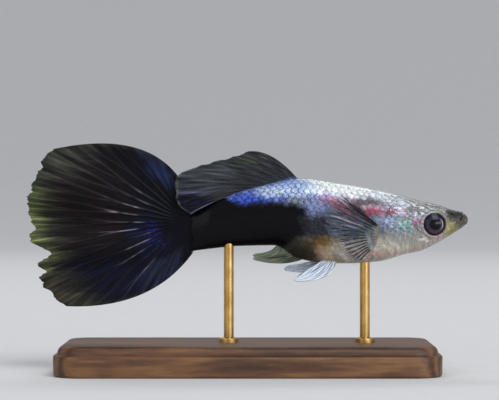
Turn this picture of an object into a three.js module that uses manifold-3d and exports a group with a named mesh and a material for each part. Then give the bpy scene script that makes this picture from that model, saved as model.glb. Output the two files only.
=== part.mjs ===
// A life-size fancy guppy, a male, on a plain display stand.
// Millimetres, +Z up. The fish looks along +X and its left side is +Y. The origin is under the middle of
// the whole model, on the underside of the base.
import * as THREE from "three";
import { mergeVertices } from "three/addons/utils/BufferGeometryUtils.js";
import Module from "manifold-3d";

const wasm = await Module();
wasm.setup();

// Driving dimensions
const SNOUT_X = 22.0; // the foremost point of the lower lip, ahead of the origin
const SNOUT_Z = 15.3; // its height over the floor
const TAIL_ROOT = 27.8; // from the snout back to where the tail fin takes over from the flesh
const GAP = 0.3; // between pieces that touch
const FIN_THICK = 0.5; // a membrane, away from its root and its tips
const TIP_THICK = 0.26;

// A place on the fish is given by how far it lies behind the snout and above it.
const at = (behind, above) => new THREE.Vector2(SNOUT_X - behind, SNOUT_Z + above);

// A smooth function through a few [x, y] points that never overshoots them.
function through(points) {
  const n = points.length;
  const slope = points.slice(1).map(([x, y], i) => (y - points[i][1]) / (x - points[i][0]));
  const tangent = points.map((_, i) => {
    if (i === 0) return slope[0];
    if (i === n - 1) return slope[n - 2];
    const [a, b] = [slope[i - 1], slope[i]];
    return a * b <= 0 ? 0 : (2 * a * b) / (a + b);
  });
  return (x) => {
    let i = 0;
    while (i < n - 2 && x > points[i + 1][0]) i += 1;
    const [[x0, y0], [x1, y1]] = [points[i], points[i + 1]];
    const h = x1 - x0;
    const t = THREE.MathUtils.clamp((x - x0) / h, 0, 1);
    const s = 1 - t;
    return (
      y0 * s * s * (1 + 2 * t) + y1 * t * t * (3 - 2 * t) + h * t * s * (tangent[i] * s - tangent[i + 1] * t)
    );
  };
}

const mix = THREE.MathUtils.lerp;
const smooth = THREE.MathUtils.smoothstep;

// Body form: heights of back and belly above the snout, half width, height of the widest line between belly
// and back, and how square each section is, all against the distance behind the snout.
const back = through([
  [0, 0.12], [0.3, 0.42], [0.72, 0.74], [1.7, 0.96], [2.8, 1.38], [4.8, 1.84], [6.8, 2.38], [8.8, 2.82],
  [13, 3.55], [16.8, 4.02], [18.8, 3.72], [21.8, 3.02], [24.8, 2.14], [26.8, 1.2], [27.8, 0.62],
]);
const belly = through([
  [0, -0.12], [0.25, -0.58], [1.3, -1.32], [2.8, -2.25], [4.8, -3.2], [6.3, -3.52], [8.8, -4.2],
  [12, -4.42], [14.5, -4.38], [17, -3.9], [19.3, -2.62], [22.8, -2.68], [25.8, -2.96], [27.8, -3.22],
]);
const halfWidth = through([
  [0, 0.42], [0.35, 0.74], [1.2, 1.08], [2.2, 1.42], [3.6, 1.72], [5.5, 1.98], [8, 2.22], [11, 2.3],
  [14.5, 2.12], [18.5, 1.62], [22, 1.16], [25.5, 0.9], [27.8, 0.74],
]);
const widestAt = through([[0, 0.5], [3.4, 0.52], [9, 0.46], [16, 0.48], [27.8, 0.5]]);
const squareAbove = through([[0, 2.2], [2.5, 2.7], [6, 2.5], [12, 2.2], [18, 1.95], [27.8, 2]]);
const squareBelow = through([[0, 2.2], [4, 2.1], [10, 2.15], [16, 2], [27.8, 2]]);

// A point of the body's surface. around runs from 0 at the left flank over the back to the right flank and
// under the belly. proud lifts the surface off the flesh by that much.
function bodyPoint(behind, around, proud = 0) {
  const [top, low] = [back(behind) + proud, belly(behind) - proud];
  const middle = mix(low, top, widestAt(behind));
  const [c, s] = [Math.cos(around), Math.sin(around)];
  const [reach, square] = s > 0 ? [top - middle, squareAbove(behind)] : [middle - low, squareBelow(behind)];
  const bulge = (v) => Math.sign(v) * Math.abs(v) ** (2 / square);
  const place = at(behind, middle + bulge(s) * reach);
  return new THREE.Vector3(place.x, bulge(c) * (halfWidth(behind) + proud), place.y);
}

// How far out the flank stands at a place, and how high the underside is at a width.
function flank(behind, above) {
  const middle = mix(belly(behind), back(behind), widestAt(behind));
  const over = above > middle;
  const reach = over ? back(behind) - middle : middle - belly(behind);
  const square = over ? squareAbove(behind) : squareBelow(behind);
  const share = Math.min(1, Math.abs(above - middle) / reach);
  return halfWidth(behind) * (1 - share ** square) ** (1 / square);
}
function underside(behind, out) {
  const middle = mix(belly(behind), back(behind), widestAt(behind));
  const square = squareBelow(behind);
  const share = Math.min(1, Math.abs(out) / halfWidth(behind));
  return middle - (middle - belly(behind)) * (1 - share ** square) ** (1 / square);
}

// Rows of points become one closed skin, with a fan over each end. Every row is a ring.
function loft(rings) {
  const count = rings[0].length;
  const points = rings.flat();
  const faces = [];
  for (let r = 0; r + 1 < rings.length; r += 1) {
    for (let k = 0; k < count; k += 1) {
      const [a, b] = [r * count + k, r * count + ((k + 1) % count)];
      const [c, d] = [a + count, b + count];
      faces.push(a, b, d, a, d, c);
    }
  }
  for (const [start, flip] of [[0, true], [(rings.length - 1) * count, false]]) {
    const middle = new THREE.Vector3();
    for (let k = 0; k < count; k += 1) middle.addScaledVector(points[start + k], 1 / count);
    const hub = points.push(middle) - 1;
    for (let k = 0; k < count; k += 1) {
      const [a, b] = [start + k, start + ((k + 1) % count)];
      faces.push(...(flip ? [hub, b, a] : [hub, a, b]));
    }
  }
  return new THREE.BufferGeometry().setFromPoints(points).setIndex(faces);
}

// Between three.js geometry and a solid that can be cut and joined.
function solid(geometry) {
  const bare = geometry.clone();
  bare.deleteAttribute("normal");
  bare.deleteAttribute("uv");
  const merged = mergeVertices(bare, 1e-5);
  const mesh = new wasm.Mesh({
    numProp: 3,
    vertProperties: new Float32Array(merged.attributes.position.array),
    triVerts: new Uint32Array(merged.index.array),
  });
  const made = new wasm.Manifold(mesh);
  if (made.volume() > 0) return made;
  mesh.triVerts.forEach((_, i, t) => {
    if (i % 3 === 1) [t[i], t[i + 1]] = [t[i + 1], t[i]];
  });
  return new wasm.Manifold(mesh);
}
function largest(made) {
  return made.decompose().reduce((best, body) => (body.volume() > best.volume() ? body : best));
}
function geometryOf(made) {
  const mesh = largest(made).getMesh();
  return new THREE.BufferGeometry()
    .setAttribute("position", new THREE.BufferAttribute(mesh.vertProperties, mesh.numProp))
    .setIndex(new THREE.BufferAttribute(mesh.triVerts, 1));
}

// The whole body, before it is parted
const RINGS = 46;
const SIDES = 36;
function wholeBody(proud = () => 0) {
  const rings = [];
  for (let r = 0; r <= RINGS; r += 1) {
    const behind = TAIL_ROOT * (r / RINGS) ** 1.35;
    const ring = [];
    for (let k = 0; k < SIDES; k += 1) {
      const around = (k / SIDES) * 2 * Math.PI;
      ring.push(bodyPoint(behind, around, proud(behind, around)));
    }
    rings.push(ring);
  }
  return solid(loft(rings));
}

// A prism through the fish from side to side, drawn in side view.
const PRISM_HALF = 6;
function sidePrism(outline, half = PRISM_HALF) {
  const shape = new THREE.Shape(outline);
  const prism = new THREE.ExtrudeGeometry(shape, { depth: 2 * half, bevelEnabled: false, curveSegments: 16 });
  prism.rotateX(Math.PI / 2);
  prism.translate(0, half, 0);
  return solid(prism);
}

// The cut behind the gill cover is a curve, furthest forward at the top, and the one at the vent is straight.
const GILL = 8.65;
const GILL_MIDDLE = -1.2;
const GILL_CURVE = 0.13;
const gillLine = (above) => GILL - GILL_CURVE * (above - GILL_MIDDLE) ** 2;
const VENT = 19.8;
const CUT_REACH = 7;
function cutAlong(line) {
  const steps = 14;
  const side = (shift) =>
    Array.from({ length: steps + 1 }, (_, i) => {
      const above = mix(-CUT_REACH, CUT_REACH, i / steps);
      return at(line(above) + shift, above);
    });
  return sidePrism([...side(0), ...side(GAP).reverse()]);
}

// Gill cover: the flank of the head swells a little up to the cut, and the trunk behind it doesn't.
const COVER_PROUD = 0.16;
const COVER_FRONT = 5.2;
const COVER_FULL = 8.0;
const coverSwelling = (behind, around) =>
  COVER_PROUD * smooth(behind, COVER_FRONT, COVER_FULL) * smooth(Math.abs(Math.cos(around)), 0.2, 0.65);

// A round bar of changing thickness along a curve, closed at both ends.
function bar(curve, thickness, steps, sides = 8) {
  const rings = [];
  const across = new THREE.Vector3();
  const up = new THREE.Vector3();
  for (let i = 0; i <= steps; i += 1) {
    const t = i / steps;
    const middle = curve.getPoint(t);
    const along = curve.getTangent(t);
    across.crossVectors(along, new THREE.Vector3(0, 0.05, 1)).normalize();
    up.crossVectors(across, along);
    rings.push(
      Array.from({ length: sides }, (_, k) => {
        const turn = (k / sides) * 2 * Math.PI;
        return middle
          .clone()
          .addScaledVector(across, thickness(t) * Math.cos(turn))
          .addScaledVector(up, thickness(t) * Math.sin(turn));
      }),
    );
  }
  return solid(loft(rings));
}

// Mouth: it opens upwards, as on every fish that feeds at the surface. A wedge parts the lips, and each lip is a
// roll that follows the surface of the snout from one corner over the front to the other.
const MOUTH_CORNER = [0.98, -0.36]; // behind and above the snout
const MOUTH_FRONT = [0.46, 0.56];
const MOUTH_OPEN = 0.3; // the wedge's width at the front
const MOUTH_DEEP = 0.1; // and at its corner
const LIP = 0.17;
function mouthSlot() {
  const corner = at(...MOUTH_CORNER);
  const way = at(...MOUTH_FRONT).sub(corner);
  const front = corner.clone().addScaledVector(way, 1.5);
  const off = way.clone().rotateAround(new THREE.Vector2(), Math.PI / 2).normalize();
  const beside = (place, width) => place.clone().addScaledVector(off, width / 2);
  return sidePrism([
    beside(front, MOUTH_OPEN), beside(corner, MOUTH_DEEP), beside(corner, -MOUTH_DEEP), beside(front, -MOUTH_OPEN),
  ]);
}
function lip(frontBehind, corner) {
  const front = [frontBehind, back(frontBehind)];
  const half = 6;
  const curve = new THREE.CatmullRomCurve3(
    Array.from({ length: 2 * half + 1 }, (_, i) => {
      const side = (i - half) / half;
      const share = side ** 2;
      const [behind, above] = [mix(front[0], corner[0], share), mix(front[1], corner[1], share)];
      const place = at(behind + 0.04, above);
      return new THREE.Vector3(place.x, Math.sign(side) * flank(behind, above) * 0.96, place.y - 0.05);
    }),
  );
  return bar(curve, (t) => LIP * (0.55 + 0.45 * Math.sin(Math.PI * t)), 14, 6);
}

// Eye and its socket, both flattened globes
const EYE = [3.45, -0.52];
const EYE_RADIUS = 1.08;
const EYE_DEPTH = 0.58;
const EYE_PROUD = 0.14; // how far the eye stands out of the head
const EYE_TURN = THREE.MathUtils.degToRad(8); // it looks a little forwards
const RIM = 0.14;
const RIM_SUNK = 0.06;
function eyeMiddle(side) {
  const place = at(...EYE);
  const out = flank(...EYE) + EYE_PROUD - EYE_DEPTH;
  return new THREE.Vector3(place.x, side * out, place.y);
}
function eyeBall(side, grow, around, down) {
  const ball = new THREE.SphereGeometry(1, around, down);
  ball.rotateX(Math.PI / 2);
  ball.scale(EYE_RADIUS + grow, EYE_DEPTH + grow, EYE_RADIUS + grow);
  ball.rotateZ(side * -EYE_TURN);
  ball.translate(...eyeMiddle(side).toArray());
  return ball;
}
// The rim of the socket is a ring laid over the curved flank.
function eyeRim(side) {
  const ring = new THREE.TorusGeometry(EYE_RADIUS + GAP + 0.07, RIM, 5, 20);
  ring.rotateX(Math.PI / 2);
  const middle = at(...EYE);
  const points = ring.attributes.position;
  for (let i = 0; i < points.count; i += 1) {
    const [x, y, z] = [points.getX(i), points.getY(i), points.getZ(i)];
    const out = flank(EYE[0] - x, EYE[1] + z) + y - RIM_SUNK;
    points.setXYZ(i, middle.x + x, side * out, middle.y + z);
  }
  return solid(ring);
}

// Nostrils: a small pit in a raised rim on each side of the snout
const NOSTRIL = [1.7, 0.5];
function nostril(side, radius, out) {
  const place = at(...NOSTRIL);
  const ball = new THREE.SphereGeometry(radius, 8, 6);
  ball.translate(place.x, side * (flank(...NOSTRIL) + out), place.y);
  return solid(ball);
}

function joinAll(first, others) {
  return others.reduce((made, other) => made.add(other), first);
}
function cutAll(first, others) {
  return others.reduce((made, other) => made.subtract(other), first);
}
const SIDES_OF_FISH = [-1, 1];

const cuts = [cutAlong(gillLine), cutAlong(() => VENT)];
const lengthsOf = (body) =>
  cutAll(body, cuts)
    .decompose()
    .sort((a, b) => b.boundingBox().max[0] - a.boundingBox().max[0]);
const [, trunk, tailFlesh] = lengthsOf(wholeBody());
const [head] = lengthsOf(wholeBody(coverSwelling));
const headWithFeatures = cutAll(
  joinAll(head, [
    lip(0.7, [MOUTH_CORNER[0] + 0.02, MOUTH_CORNER[1] + 0.08]),
    lip(0.2, [MOUTH_CORNER[0] - 0.06, MOUTH_CORNER[1] - 0.12]),
    ...SIDES_OF_FISH.flatMap((side) => [eyeRim(side), nostril(side, 0.22, -0.08)]),
  ]),
  [mouthSlot(), ...SIDES_OF_FISH.flatMap((side) => [solid(eyeBall(side, GAP, 20, 12)), nostril(side, 0.12, 0.12)])],
);

// A fin is a sheet of rays. share runs over the rays from the first to the last, and reach runs from the
// root to the edge. path(share, reach) gives a point of its middle sheet, rootWidth(share) its thickness where
// it meets the flesh, and each ray is a ridge that forks in two towards the edge.
const RIDGE = 0.1;
function fin({ path, rootWidth, rays, steps, rooting = 0.16, thick = FIN_THICK, forks = true, ridge = RIDGE }) {
  const perRay = forks ? 4 : 2;
  const columns = rays * perRay;
  const heights = (k, reach) => {
    if (!forks) return k % 2;
    const open = smooth(reach, 0.35, 0.75);
    return [0, 1 - 0.25 * open, 1 - open, 1 - 0.25 * open][k % 4];
  };
  const point = (k, r) => path(k / columns, r / steps);
  const faces = [[], []];
  for (let r = 0; r <= steps; r += 1) {
    const reach = r / steps;
    for (let k = 0; k <= columns; k += 1) {
      const across = point(Math.min(k + 1, columns), r).sub(point(Math.max(k - 1, 0), r));
      const along = point(k, Math.min(r + 1, steps)).sub(point(k, Math.max(r - 1, 0)));
      const out = across.cross(along).normalize();
      const sheet = mix(thick, TIP_THICK, smooth(reach, 0.55, 1));
      const root = mix(rootWidth(k / columns), sheet, smooth(reach, 0, rooting));
      const edge = Math.min(k, columns - k) < 1 ? 0.8 : 1;
      const lift = ridge * heights(k, reach) * smooth(reach, 0.02, 0.2) * (1 - 0.6 * reach);
      const half = (reach < rooting ? Math.max(root, sheet) : sheet * edge) / 2 + lift;
      const middle = point(k, r);
      faces[0].push(middle.clone().addScaledVector(out, half));
      faces[1].push(middle.clone().addScaledVector(out, -half));
    }
  }
  const width = columns + 1;
  const one = faces[0].length;
  const index = [];
  const quad = (a, b, c, d) => index.push(a, b, c, a, c, d);
  for (let r = 0; r < steps; r += 1) {
    for (let k = 0; k < columns; k += 1) {
      const [a, b] = [r * width + k, r * width + k + 1];
      const [c, d] = [b + width, a + width];
      index.push(a, b, c, a, c, d);
      index.push(one + a, one + c, one + b, one + a, one + d, one + c);
    }
    quad(r * width, (r + 1) * width, one + (r + 1) * width, one + r * width);
    const end = r * width + columns;
    quad(end, one + end, one + end + width, end + width);
  }
  const top = steps * width;
  for (let k = 0; k < columns; k += 1) {
    quad(k, one + k, one + k + 1, k + 1);
    quad(top + k, top + k + 1, one + top + k + 1, one + top + k);
  }
  return new THREE.BufferGeometry().setFromPoints([...faces[0], ...faces[1]]).setIndex(index);
}

// A point of a curve that starts at root, heads for bend and ends at edge, in side view.
const bentRay = (root, bend, edge, reach) => {
  const s = 1 - reach;
  return root.clone().multiplyScalar(s * s).addScaledVector(bend, 2 * s * reach).addScaledVector(edge, reach * reach);
};
const inSpace = (place, out) => new THREE.Vector3(place.x, out, place.y);

// Tail fin: a broad fan. Its outer rays leave the flesh steeply and bend back, and its rear edge is torn.
const FAN_ROOT_TOP = 0.5; // above the snout
const FAN_ROOT_LOW = -3.12;
const FAN_TOP = 7.0;
const FAN_LOW = -8.7;
const FAN_STEEPEST_UP = THREE.MathUtils.degToRad(78);
const FAN_STEEPEST_DOWN = THREE.MathUtils.degToRad(52);
const FAN_WAVE = 0.38;
const fanEdge = through([
  [FAN_LOW, 40.1], [-8.1, 41.1], [-6.2, 42.8], [-4.8, 43.2], [-1.7, 43.9], [1.9, 44.05], [4.4, 43.2],
  [5.9, 42.6], [FAN_TOP, 41.6],
]);
// Where the edge is torn: height above the snout, depth and half width
const TEARS = [
  [-3.4, 1.85, 0.75], [-5.25, 0.8, 0.36], [-0.85, 0.6, 0.6], [2.75, 0.35, 0.24], [5.1, 0.3, 0.3], [-7.4, 0.3, 0.3],
];
const tearDepth = (above) =>
  TEARS.reduce((sum, [where, depth, half]) => sum + depth * Math.exp(-(((above - where) / half) ** 2)), 0);
const FAN_GAP_X = TAIL_ROOT + GAP;
function tailFinPath(share, reach) {
  const root = at(FAN_GAP_X, mix(FAN_ROOT_TOP, FAN_ROOT_LOW, share));
  const above = mix(FAN_TOP, FAN_LOW, share);
  const edge = at(fanEdge(above) - tearDepth(above), above);
  const lean = 1 - 2 * share;
  const steep = lean > 0 ? FAN_STEEPEST_UP : -FAN_STEEPEST_DOWN;
  const turn = steep * Math.abs(lean) ** 1.45 - 0.06;
  const hold = lean > 0 ? mix(6, 8.8, lean) : mix(6, 7, -lean);
  const bend = root.clone().add(new THREE.Vector2(-Math.cos(turn), Math.sin(turn)).multiplyScalar(hold));
  const wave = FAN_WAVE * smooth(reach, 0.1, 1) * Math.sin(share * 5.2 * Math.PI + 1.1 * reach);
  return inSpace(bentRay(root, bend, edge, reach), wave);
}
const tailRootWidth = (share) => 2 * flank(TAIL_ROOT, mix(FAN_ROOT_TOP, FAN_ROOT_LOW, share)) * 0.96;

// Back fin: rises from a short root and trails back beside the tail fin, which it clears on the right side.
const BACK_FIN_FRONT = 16.9;
const BACK_FIN_REAR = 21.6;
const backFinEdge = new THREE.SplineCurve([
  at(22.0, 6.75), at(23.4, 6.2), at(26.2, 5.45), at(28.9, 4.4), at(29.15, 2.9), at(28.9, 1.5), at(27.7, 0.55 + GAP),
]);
const BACK_FIN_FLOP = -1.05;
function backFinPath(share, reach) {
  const behind = mix(BACK_FIN_FRONT, BACK_FIN_REAR, share);
  const root = at(behind, back(behind) + GAP);
  const edge = backFinEdge.getPoint(share);
  const bend = at(mix(19.6, 25.2, share), mix(7.3, 2.35 + GAP, share ** 0.75));
  const place = bentRay(root, bend, edge, reach);
  const behindHere = SNOUT_X - place.x;
  const flop = BACK_FIN_FLOP * smooth(behindHere, 22.5, 27.2) * smooth(share, 0.05, 0.5);
  return inSpace(place, flop);
}

// Anal fin of a male: a narrow paddle that points back under the belly.
const ANAL_FRONT = 16.35;
const ANAL_REAR = 19.1;
function analFinPath(share, reach) {
  const behind = mix(ANAL_FRONT, ANAL_REAR, share);
  const root = at(behind, belly(behind) - GAP);
  const edge = at(21.5, mix(-4.1, -3.55, share));
  const bend = at(mix(18.4, 19.5, share), mix(-4.85, -3.42, share));
  return inSpace(bentRay(root, bend, edge, reach), 0);
}

// Pelvic fins: narrow pointed blades. The right one hangs lower than the left.
const PELVIC_FRONT = 13.1;
const PELVIC_REAR = 14.5;
const PELVIC_OUT = 0.62;
function pelvicFinPath(side, droop) {
  return (share, reach) => {
    const behind = mix(PELVIC_FRONT, PELVIC_REAR, share);
    const root = at(behind, underside(behind, PELVIC_OUT) - GAP);
    const tip = droop > 0 ? at(17.5, -6.15) : at(18.4, -5.2);
    const edge = tip.clone().add(new THREE.Vector2(0.25 * share, 0.42 * share));
    const bend = droop > 0 ? at(mix(13.9, 16, share), mix(-6.15, -4.75, share)) : at(mix(14.6, 16.6, share), mix(-5.6, -4.72, share));
    return inSpace(bentRay(root, bend, edge, reach), side * (PELVIC_OUT + 0.75 * reach ** 1.2));
  };
}

// Breast fins: round fans behind the gill covers that stand a little off the flanks.
const BREAST_ROOT_TOP = [9.05, -0.75];
const BREAST_ROOT_LOW = [9.5, -2.5];
const BREAST_REACH = through([[0, 4.6], [0.25, 4.95], [0.5, 4.8], [0.75, 4.3], [1, 3.0]]);
const BREAST_UP = THREE.MathUtils.degToRad(44);
const BREAST_DOWN = THREE.MathUtils.degToRad(-47);
const BREAST_FLARE = 0.3; // outwards, for each millimetre back
function breastFinPath(side) {
  return (share, reach) => {
    const behind = mix(BREAST_ROOT_TOP[0], BREAST_ROOT_LOW[0], share);
    const above = mix(BREAST_ROOT_TOP[1], BREAST_ROOT_LOW[1], share);
    const turn = mix(BREAST_UP, BREAST_DOWN, share);
    const length = BREAST_REACH(share) * reach;
    const out = flank(behind, above) + GAP + FIN_THICK / 2 + BREAST_FLARE * length;
    return inSpace(at(behind + length * Math.cos(turn), above + length * Math.sin(turn)), side * out);
  };
}

// Stand: a flat base with softened edges and two rods
const BASE = [38, 16, 3];
const BASE_CORNER = 3;
const BASE_BEVEL = 0.5;
function base() {
  const [long, wide, high] = BASE;
  const [x, y] = [long / 2 - BASE_BEVEL, wide / 2 - BASE_BEVEL];
  const r = BASE_CORNER;
  const shape = new THREE.Shape();
  shape.absarc(x - r, y - r, r, 0, Math.PI / 2);
  shape.absarc(r - x, y - r, r, Math.PI / 2, Math.PI);
  shape.absarc(r - x, r - y, r, Math.PI, 1.5 * Math.PI);
  shape.absarc(x - r, r - y, r, 1.5 * Math.PI, 2 * Math.PI);
  const block = new THREE.ExtrudeGeometry(shape, {
    depth: high - 2 * BASE_BEVEL,
    bevelThickness: BASE_BEVEL,
    bevelSize: BASE_BEVEL,
    bevelSegments: 2,
    curveSegments: 6,
  });
  block.translate(0, 0, BASE_BEVEL);
  return geometryOf(solid(block));
}
const ROD_RADIUS = 0.5;
function rod(behind) {
  const low = BASE[2] + GAP;
  const place = at(behind, 0);
  const lowest = Math.min(belly(behind - ROD_RADIUS), belly(behind), belly(behind + ROD_RADIUS));
  const high = SNOUT_Z + lowest - GAP;
  const post = new THREE.CylinderGeometry(ROD_RADIUS, ROD_RADIUS, high - low, 20);
  post.rotateX(Math.PI / 2);
  post.translate(place.x, 0, (high + low) / 2);
  return post;
}

// Finish of each kind of piece
const finish = (color, roughness, metalness = 0) => new THREE.MeshStandardMaterial({ color, roughness, metalness });
const SKIN = finish(0xa9b2bb, 0.35);
const DARK_SKIN = finish(0x0c0d16, 0.4);
const DARK_FIN = finish(0x1a1c28, 0.45);
const PALE_FIN = finish(0xc3cfd6, 0.4);
const EYE_GLOSS = finish(0x120f1a, 0.08);
const WOOD = finish(0x6b4a33, 0.5);
const BRASS = finish(0xb08d57, 0.3, 1);

const guppy = new THREE.Group();
function piece(name, geometry, material) {
  const mesh = new THREE.Mesh(geometry, material);
  mesh.name = name;
  guppy.add(mesh);
}

piece("head", geometryOf(headWithFeatures), SKIN);
piece("trunk", geometryOf(trunk), SKIN);
piece("tail_stalk", geometryOf(tailFlesh), DARK_SKIN);
piece("tail_fin", fin({ path: tailFinPath, rootWidth: tailRootWidth, rays: 15, steps: 13 }), DARK_FIN);
piece("back_fin", fin({ path: backFinPath, rootWidth: () => 0.62, rays: 8, steps: 9 }), DARK_FIN);
piece("anal_fin", fin({ path: analFinPath, rootWidth: () => 0.6, rays: 5, steps: 6, forks: false }), PALE_FIN);
for (const [name, side] of [["right", -1], ["left", 1]]) {
  piece("eye_" + name, eyeBall(side, 0, 20, 12), EYE_GLOSS);
  piece(
    "breast_fin_" + name,
    fin({ path: breastFinPath(side), rootWidth: () => FIN_THICK, rays: 12, steps: 7, forks: false, ridge: 0.07 }),
    PALE_FIN,
  );
  piece(
    "pelvic_fin_" + name,
    fin({ path: pelvicFinPath(side, -side), rootWidth: () => 0.55, rays: 5, steps: 8, forks: false, ridge: 0.07 }),
    PALE_FIN,
  );
}
piece("stand_base", base(), WOOD);
piece("stand_rod_front", rod(10.3), BRASS);
piece("stand_rod_rear", rod(23.9), BRASS);

export default guppy;
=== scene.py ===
# %% [markdown]
# This lesson dresses a life-size male fancy guppy on a display stand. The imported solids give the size, the place
# and the pose. Here every surface is worked out as whole numpy arrays: a function of two parameters gives the
# points, and a mesh is filled from them in one go. Lengths are in millimetres until a mesh is made.

import bpy
import numpy as np
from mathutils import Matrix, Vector


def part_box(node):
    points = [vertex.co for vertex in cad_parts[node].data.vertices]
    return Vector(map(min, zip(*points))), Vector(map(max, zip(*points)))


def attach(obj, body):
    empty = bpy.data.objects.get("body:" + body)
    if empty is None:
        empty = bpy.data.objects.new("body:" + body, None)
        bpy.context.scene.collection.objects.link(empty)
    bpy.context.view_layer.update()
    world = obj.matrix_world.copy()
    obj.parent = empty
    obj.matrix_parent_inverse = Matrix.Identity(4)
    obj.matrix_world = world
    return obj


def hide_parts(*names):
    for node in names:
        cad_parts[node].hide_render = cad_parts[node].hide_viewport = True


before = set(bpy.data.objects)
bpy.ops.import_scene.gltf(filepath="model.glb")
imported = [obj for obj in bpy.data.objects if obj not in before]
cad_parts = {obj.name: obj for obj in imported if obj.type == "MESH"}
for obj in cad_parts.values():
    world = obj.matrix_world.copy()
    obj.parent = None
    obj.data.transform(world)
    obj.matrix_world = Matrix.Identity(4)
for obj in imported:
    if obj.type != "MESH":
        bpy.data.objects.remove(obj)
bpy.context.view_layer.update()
MM = 0.001
print("solids:", sorted(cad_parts))

# %% [markdown]
# A place on the fish is given by how far it lies behind the tip of the snout and how high above it, as an
# anatomist would say it. The frame's boxes tell where the snout is. The smooth curves through a few body
# heights and widths are the same ones that shaped the solids.

# %% Places on the fish
eye_low, eye_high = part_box("eye_right")
EYE_BEHIND, EYE_ABOVE = 3.45, -0.52
SNOUT_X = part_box("head")[1].x / MM
SNOUT_Z = (eye_low.z + eye_high.z) / 2 / MM - EYE_ABOVE
TAIL_ROOT = 27.8
BASE_HIGH = np.array(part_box("stand_base")[1]) / MM


def at(behind, above):
    """Side-view place, as x ahead of the origin and z over the floor."""
    behind, above = np.broadcast_arrays(behind, above)
    return np.stack([SNOUT_X - behind, SNOUT_Z + above], axis=-1).astype(float)


def mix(low, high, share):
    """The value that lies at a share of the way from low to high."""
    return low + (high - low) * share


def smooth(value, start, end):
    """0 before start, 1 after end, and 3t^2 - 2t^3 between them."""
    t = np.clip((value - start) / (end - start), 0, 1)
    return t * t * (3 - 2 * t)


def through(points):
    """A smooth function through [x, y] points that never overshoots: cubic pieces, each tangent the harmonic mean
    of the slopes beside it, or level where they change sign."""
    x, y = np.array(points, float).T
    slope = np.diff(y) / np.diff(x)
    a, b = slope[:-1], slope[1:]
    inner = np.where(a * b > 0, 2 * a * b / np.where(a * b > 0, a + b, 1), 0)
    tangent = np.concatenate([slope[:1], inner, slope[-1:]])

    def value(where):
        i = np.clip(np.searchsorted(x, where) - 1, 0, len(x) - 2)
        h = x[i + 1] - x[i]
        t = np.clip((where - x[i]) / h, 0, 1)
        s = 1 - t
        ends = y[i] * s * s * (1 + 2 * t) + y[i + 1] * t * t * (3 - 2 * t)
        return ends + h * t * s * (tangent[i] * s - tangent[i + 1] * t)

    return value


# Each pair is a place behind the snout and a value there: the heights of back and belly, half the width, the share
# of the height where the section is widest, and how square it is above and below that.
back = through([
    [0, 0.12], [0.3, 0.42], [0.72, 0.74], [1.7, 0.96], [2.8, 1.38], [4.8, 1.84], [6.8, 2.38], [8.8, 2.82],
    [13, 3.55], [16.8, 4.02], [18.8, 3.72], [21.8, 3.02], [24.8, 2.14], [26.8, 1.2], [27.8, 0.62],
])
belly = through([
    [0, -0.12], [0.25, -0.58], [1.3, -1.32], [2.8, -2.25], [4.8, -3.2], [6.3, -3.52], [8.8, -4.2],
    [12, -4.42], [14.5, -4.38], [17, -3.9], [19.3, -2.62], [22.8, -2.68], [25.8, -2.96], [27.8, -3.22],
])
half_width = through([
    [0, 0.42], [0.35, 0.74], [1.2, 1.08], [2.2, 1.42], [3.6, 1.72], [5.5, 1.98], [8, 2.22], [11, 2.3],
    [14.5, 2.12], [18.5, 1.62], [22, 1.16], [25.5, 0.9], [27.8, 0.74],
])
widest_at = through([[0, 0.5], [3.4, 0.52], [9, 0.46], [16, 0.48], [27.8, 0.5]])
square_above = through([[0, 2.2], [2.5, 2.7], [6, 2.5], [12, 2.2], [18, 1.95], [27.8, 2]])
square_below = through([[0, 2.2], [4, 2.1], [10, 2.15], [16, 2], [27.8, 2]])

stations = np.linspace(0, TAIL_ROOT, 200)
print(f"body {np.max(back(stations) - belly(stations)):.2f} mm deep, {2 * np.max(half_width(stations)):.2f} mm wide")

# %% [markdown]
# The body is a tube of soft-cornered ellipses, called superellipses. One parameter runs from the snout to the
# tail, and the other goes round the section. The nose closes in a quarter circle, and the tail stalk thins to an
# upright blade inside the root of the tail fin, as the bones there do.

# %% The flesh as a surface
NOSE_ROUND = 0.26
END_ROUND = 3.4
FLESH_END = TAIL_ROOT + 1.1
BLADE_SHARE = 0.16
BOW = 0.35


def closing(behind):
    """Share of the full section that is left over the nose: a quarter circle."""
    return np.sqrt(1 - (1 - np.clip(behind / NOSE_ROUND, 0, 1)) ** 2)


def slimming(behind):
    """Share of the width that is left where the tail stalk thins to a blade between the fin's rays."""
    return mix(BLADE_SHARE, 1, smooth(behind, FLESH_END + 0.1, FLESH_END - END_ROUND))


def middle_at(behind):
    """Height where the section is widest."""
    return mix(belly(behind), back(behind), widest_at(behind))


def section(behind, upper):
    """A section's middle height, its reach from there to back or belly, and how square that half of it is."""
    middle = middle_at(behind)
    reach = np.where(upper, back(behind) - middle, middle - belly(behind))
    return middle, reach, np.where(upper, square_above(behind), square_below(behind))


def flesh(behind, around):
    """Point of the body: x = -behind, y = w * c^(2/n), z = middle + r * s^(2/n), where c and s are the cosine and
    sine of around, w the half width, r the reach to back or belly and n how square the section is."""
    full = np.maximum(behind, NOSE_ROUND)
    c, s = np.cos(around), np.sin(around)
    middle, reach, square = section(full, s > 0)
    shut = closing(behind)
    out = half_width(full) * np.sign(c) * np.abs(c) ** (2 / square) * shut * slimming(behind)
    above = middle + reach * np.sign(s) * np.abs(s) ** (2 / square) * shut
    bowed = BOW * (c**2 - 0.6) * smooth(behind, TAIL_ROOT - 0.8, FLESH_END)
    return np.stack([SNOUT_X - behind - bowed, out, SNOUT_Z + above], axis=-1)


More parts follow.
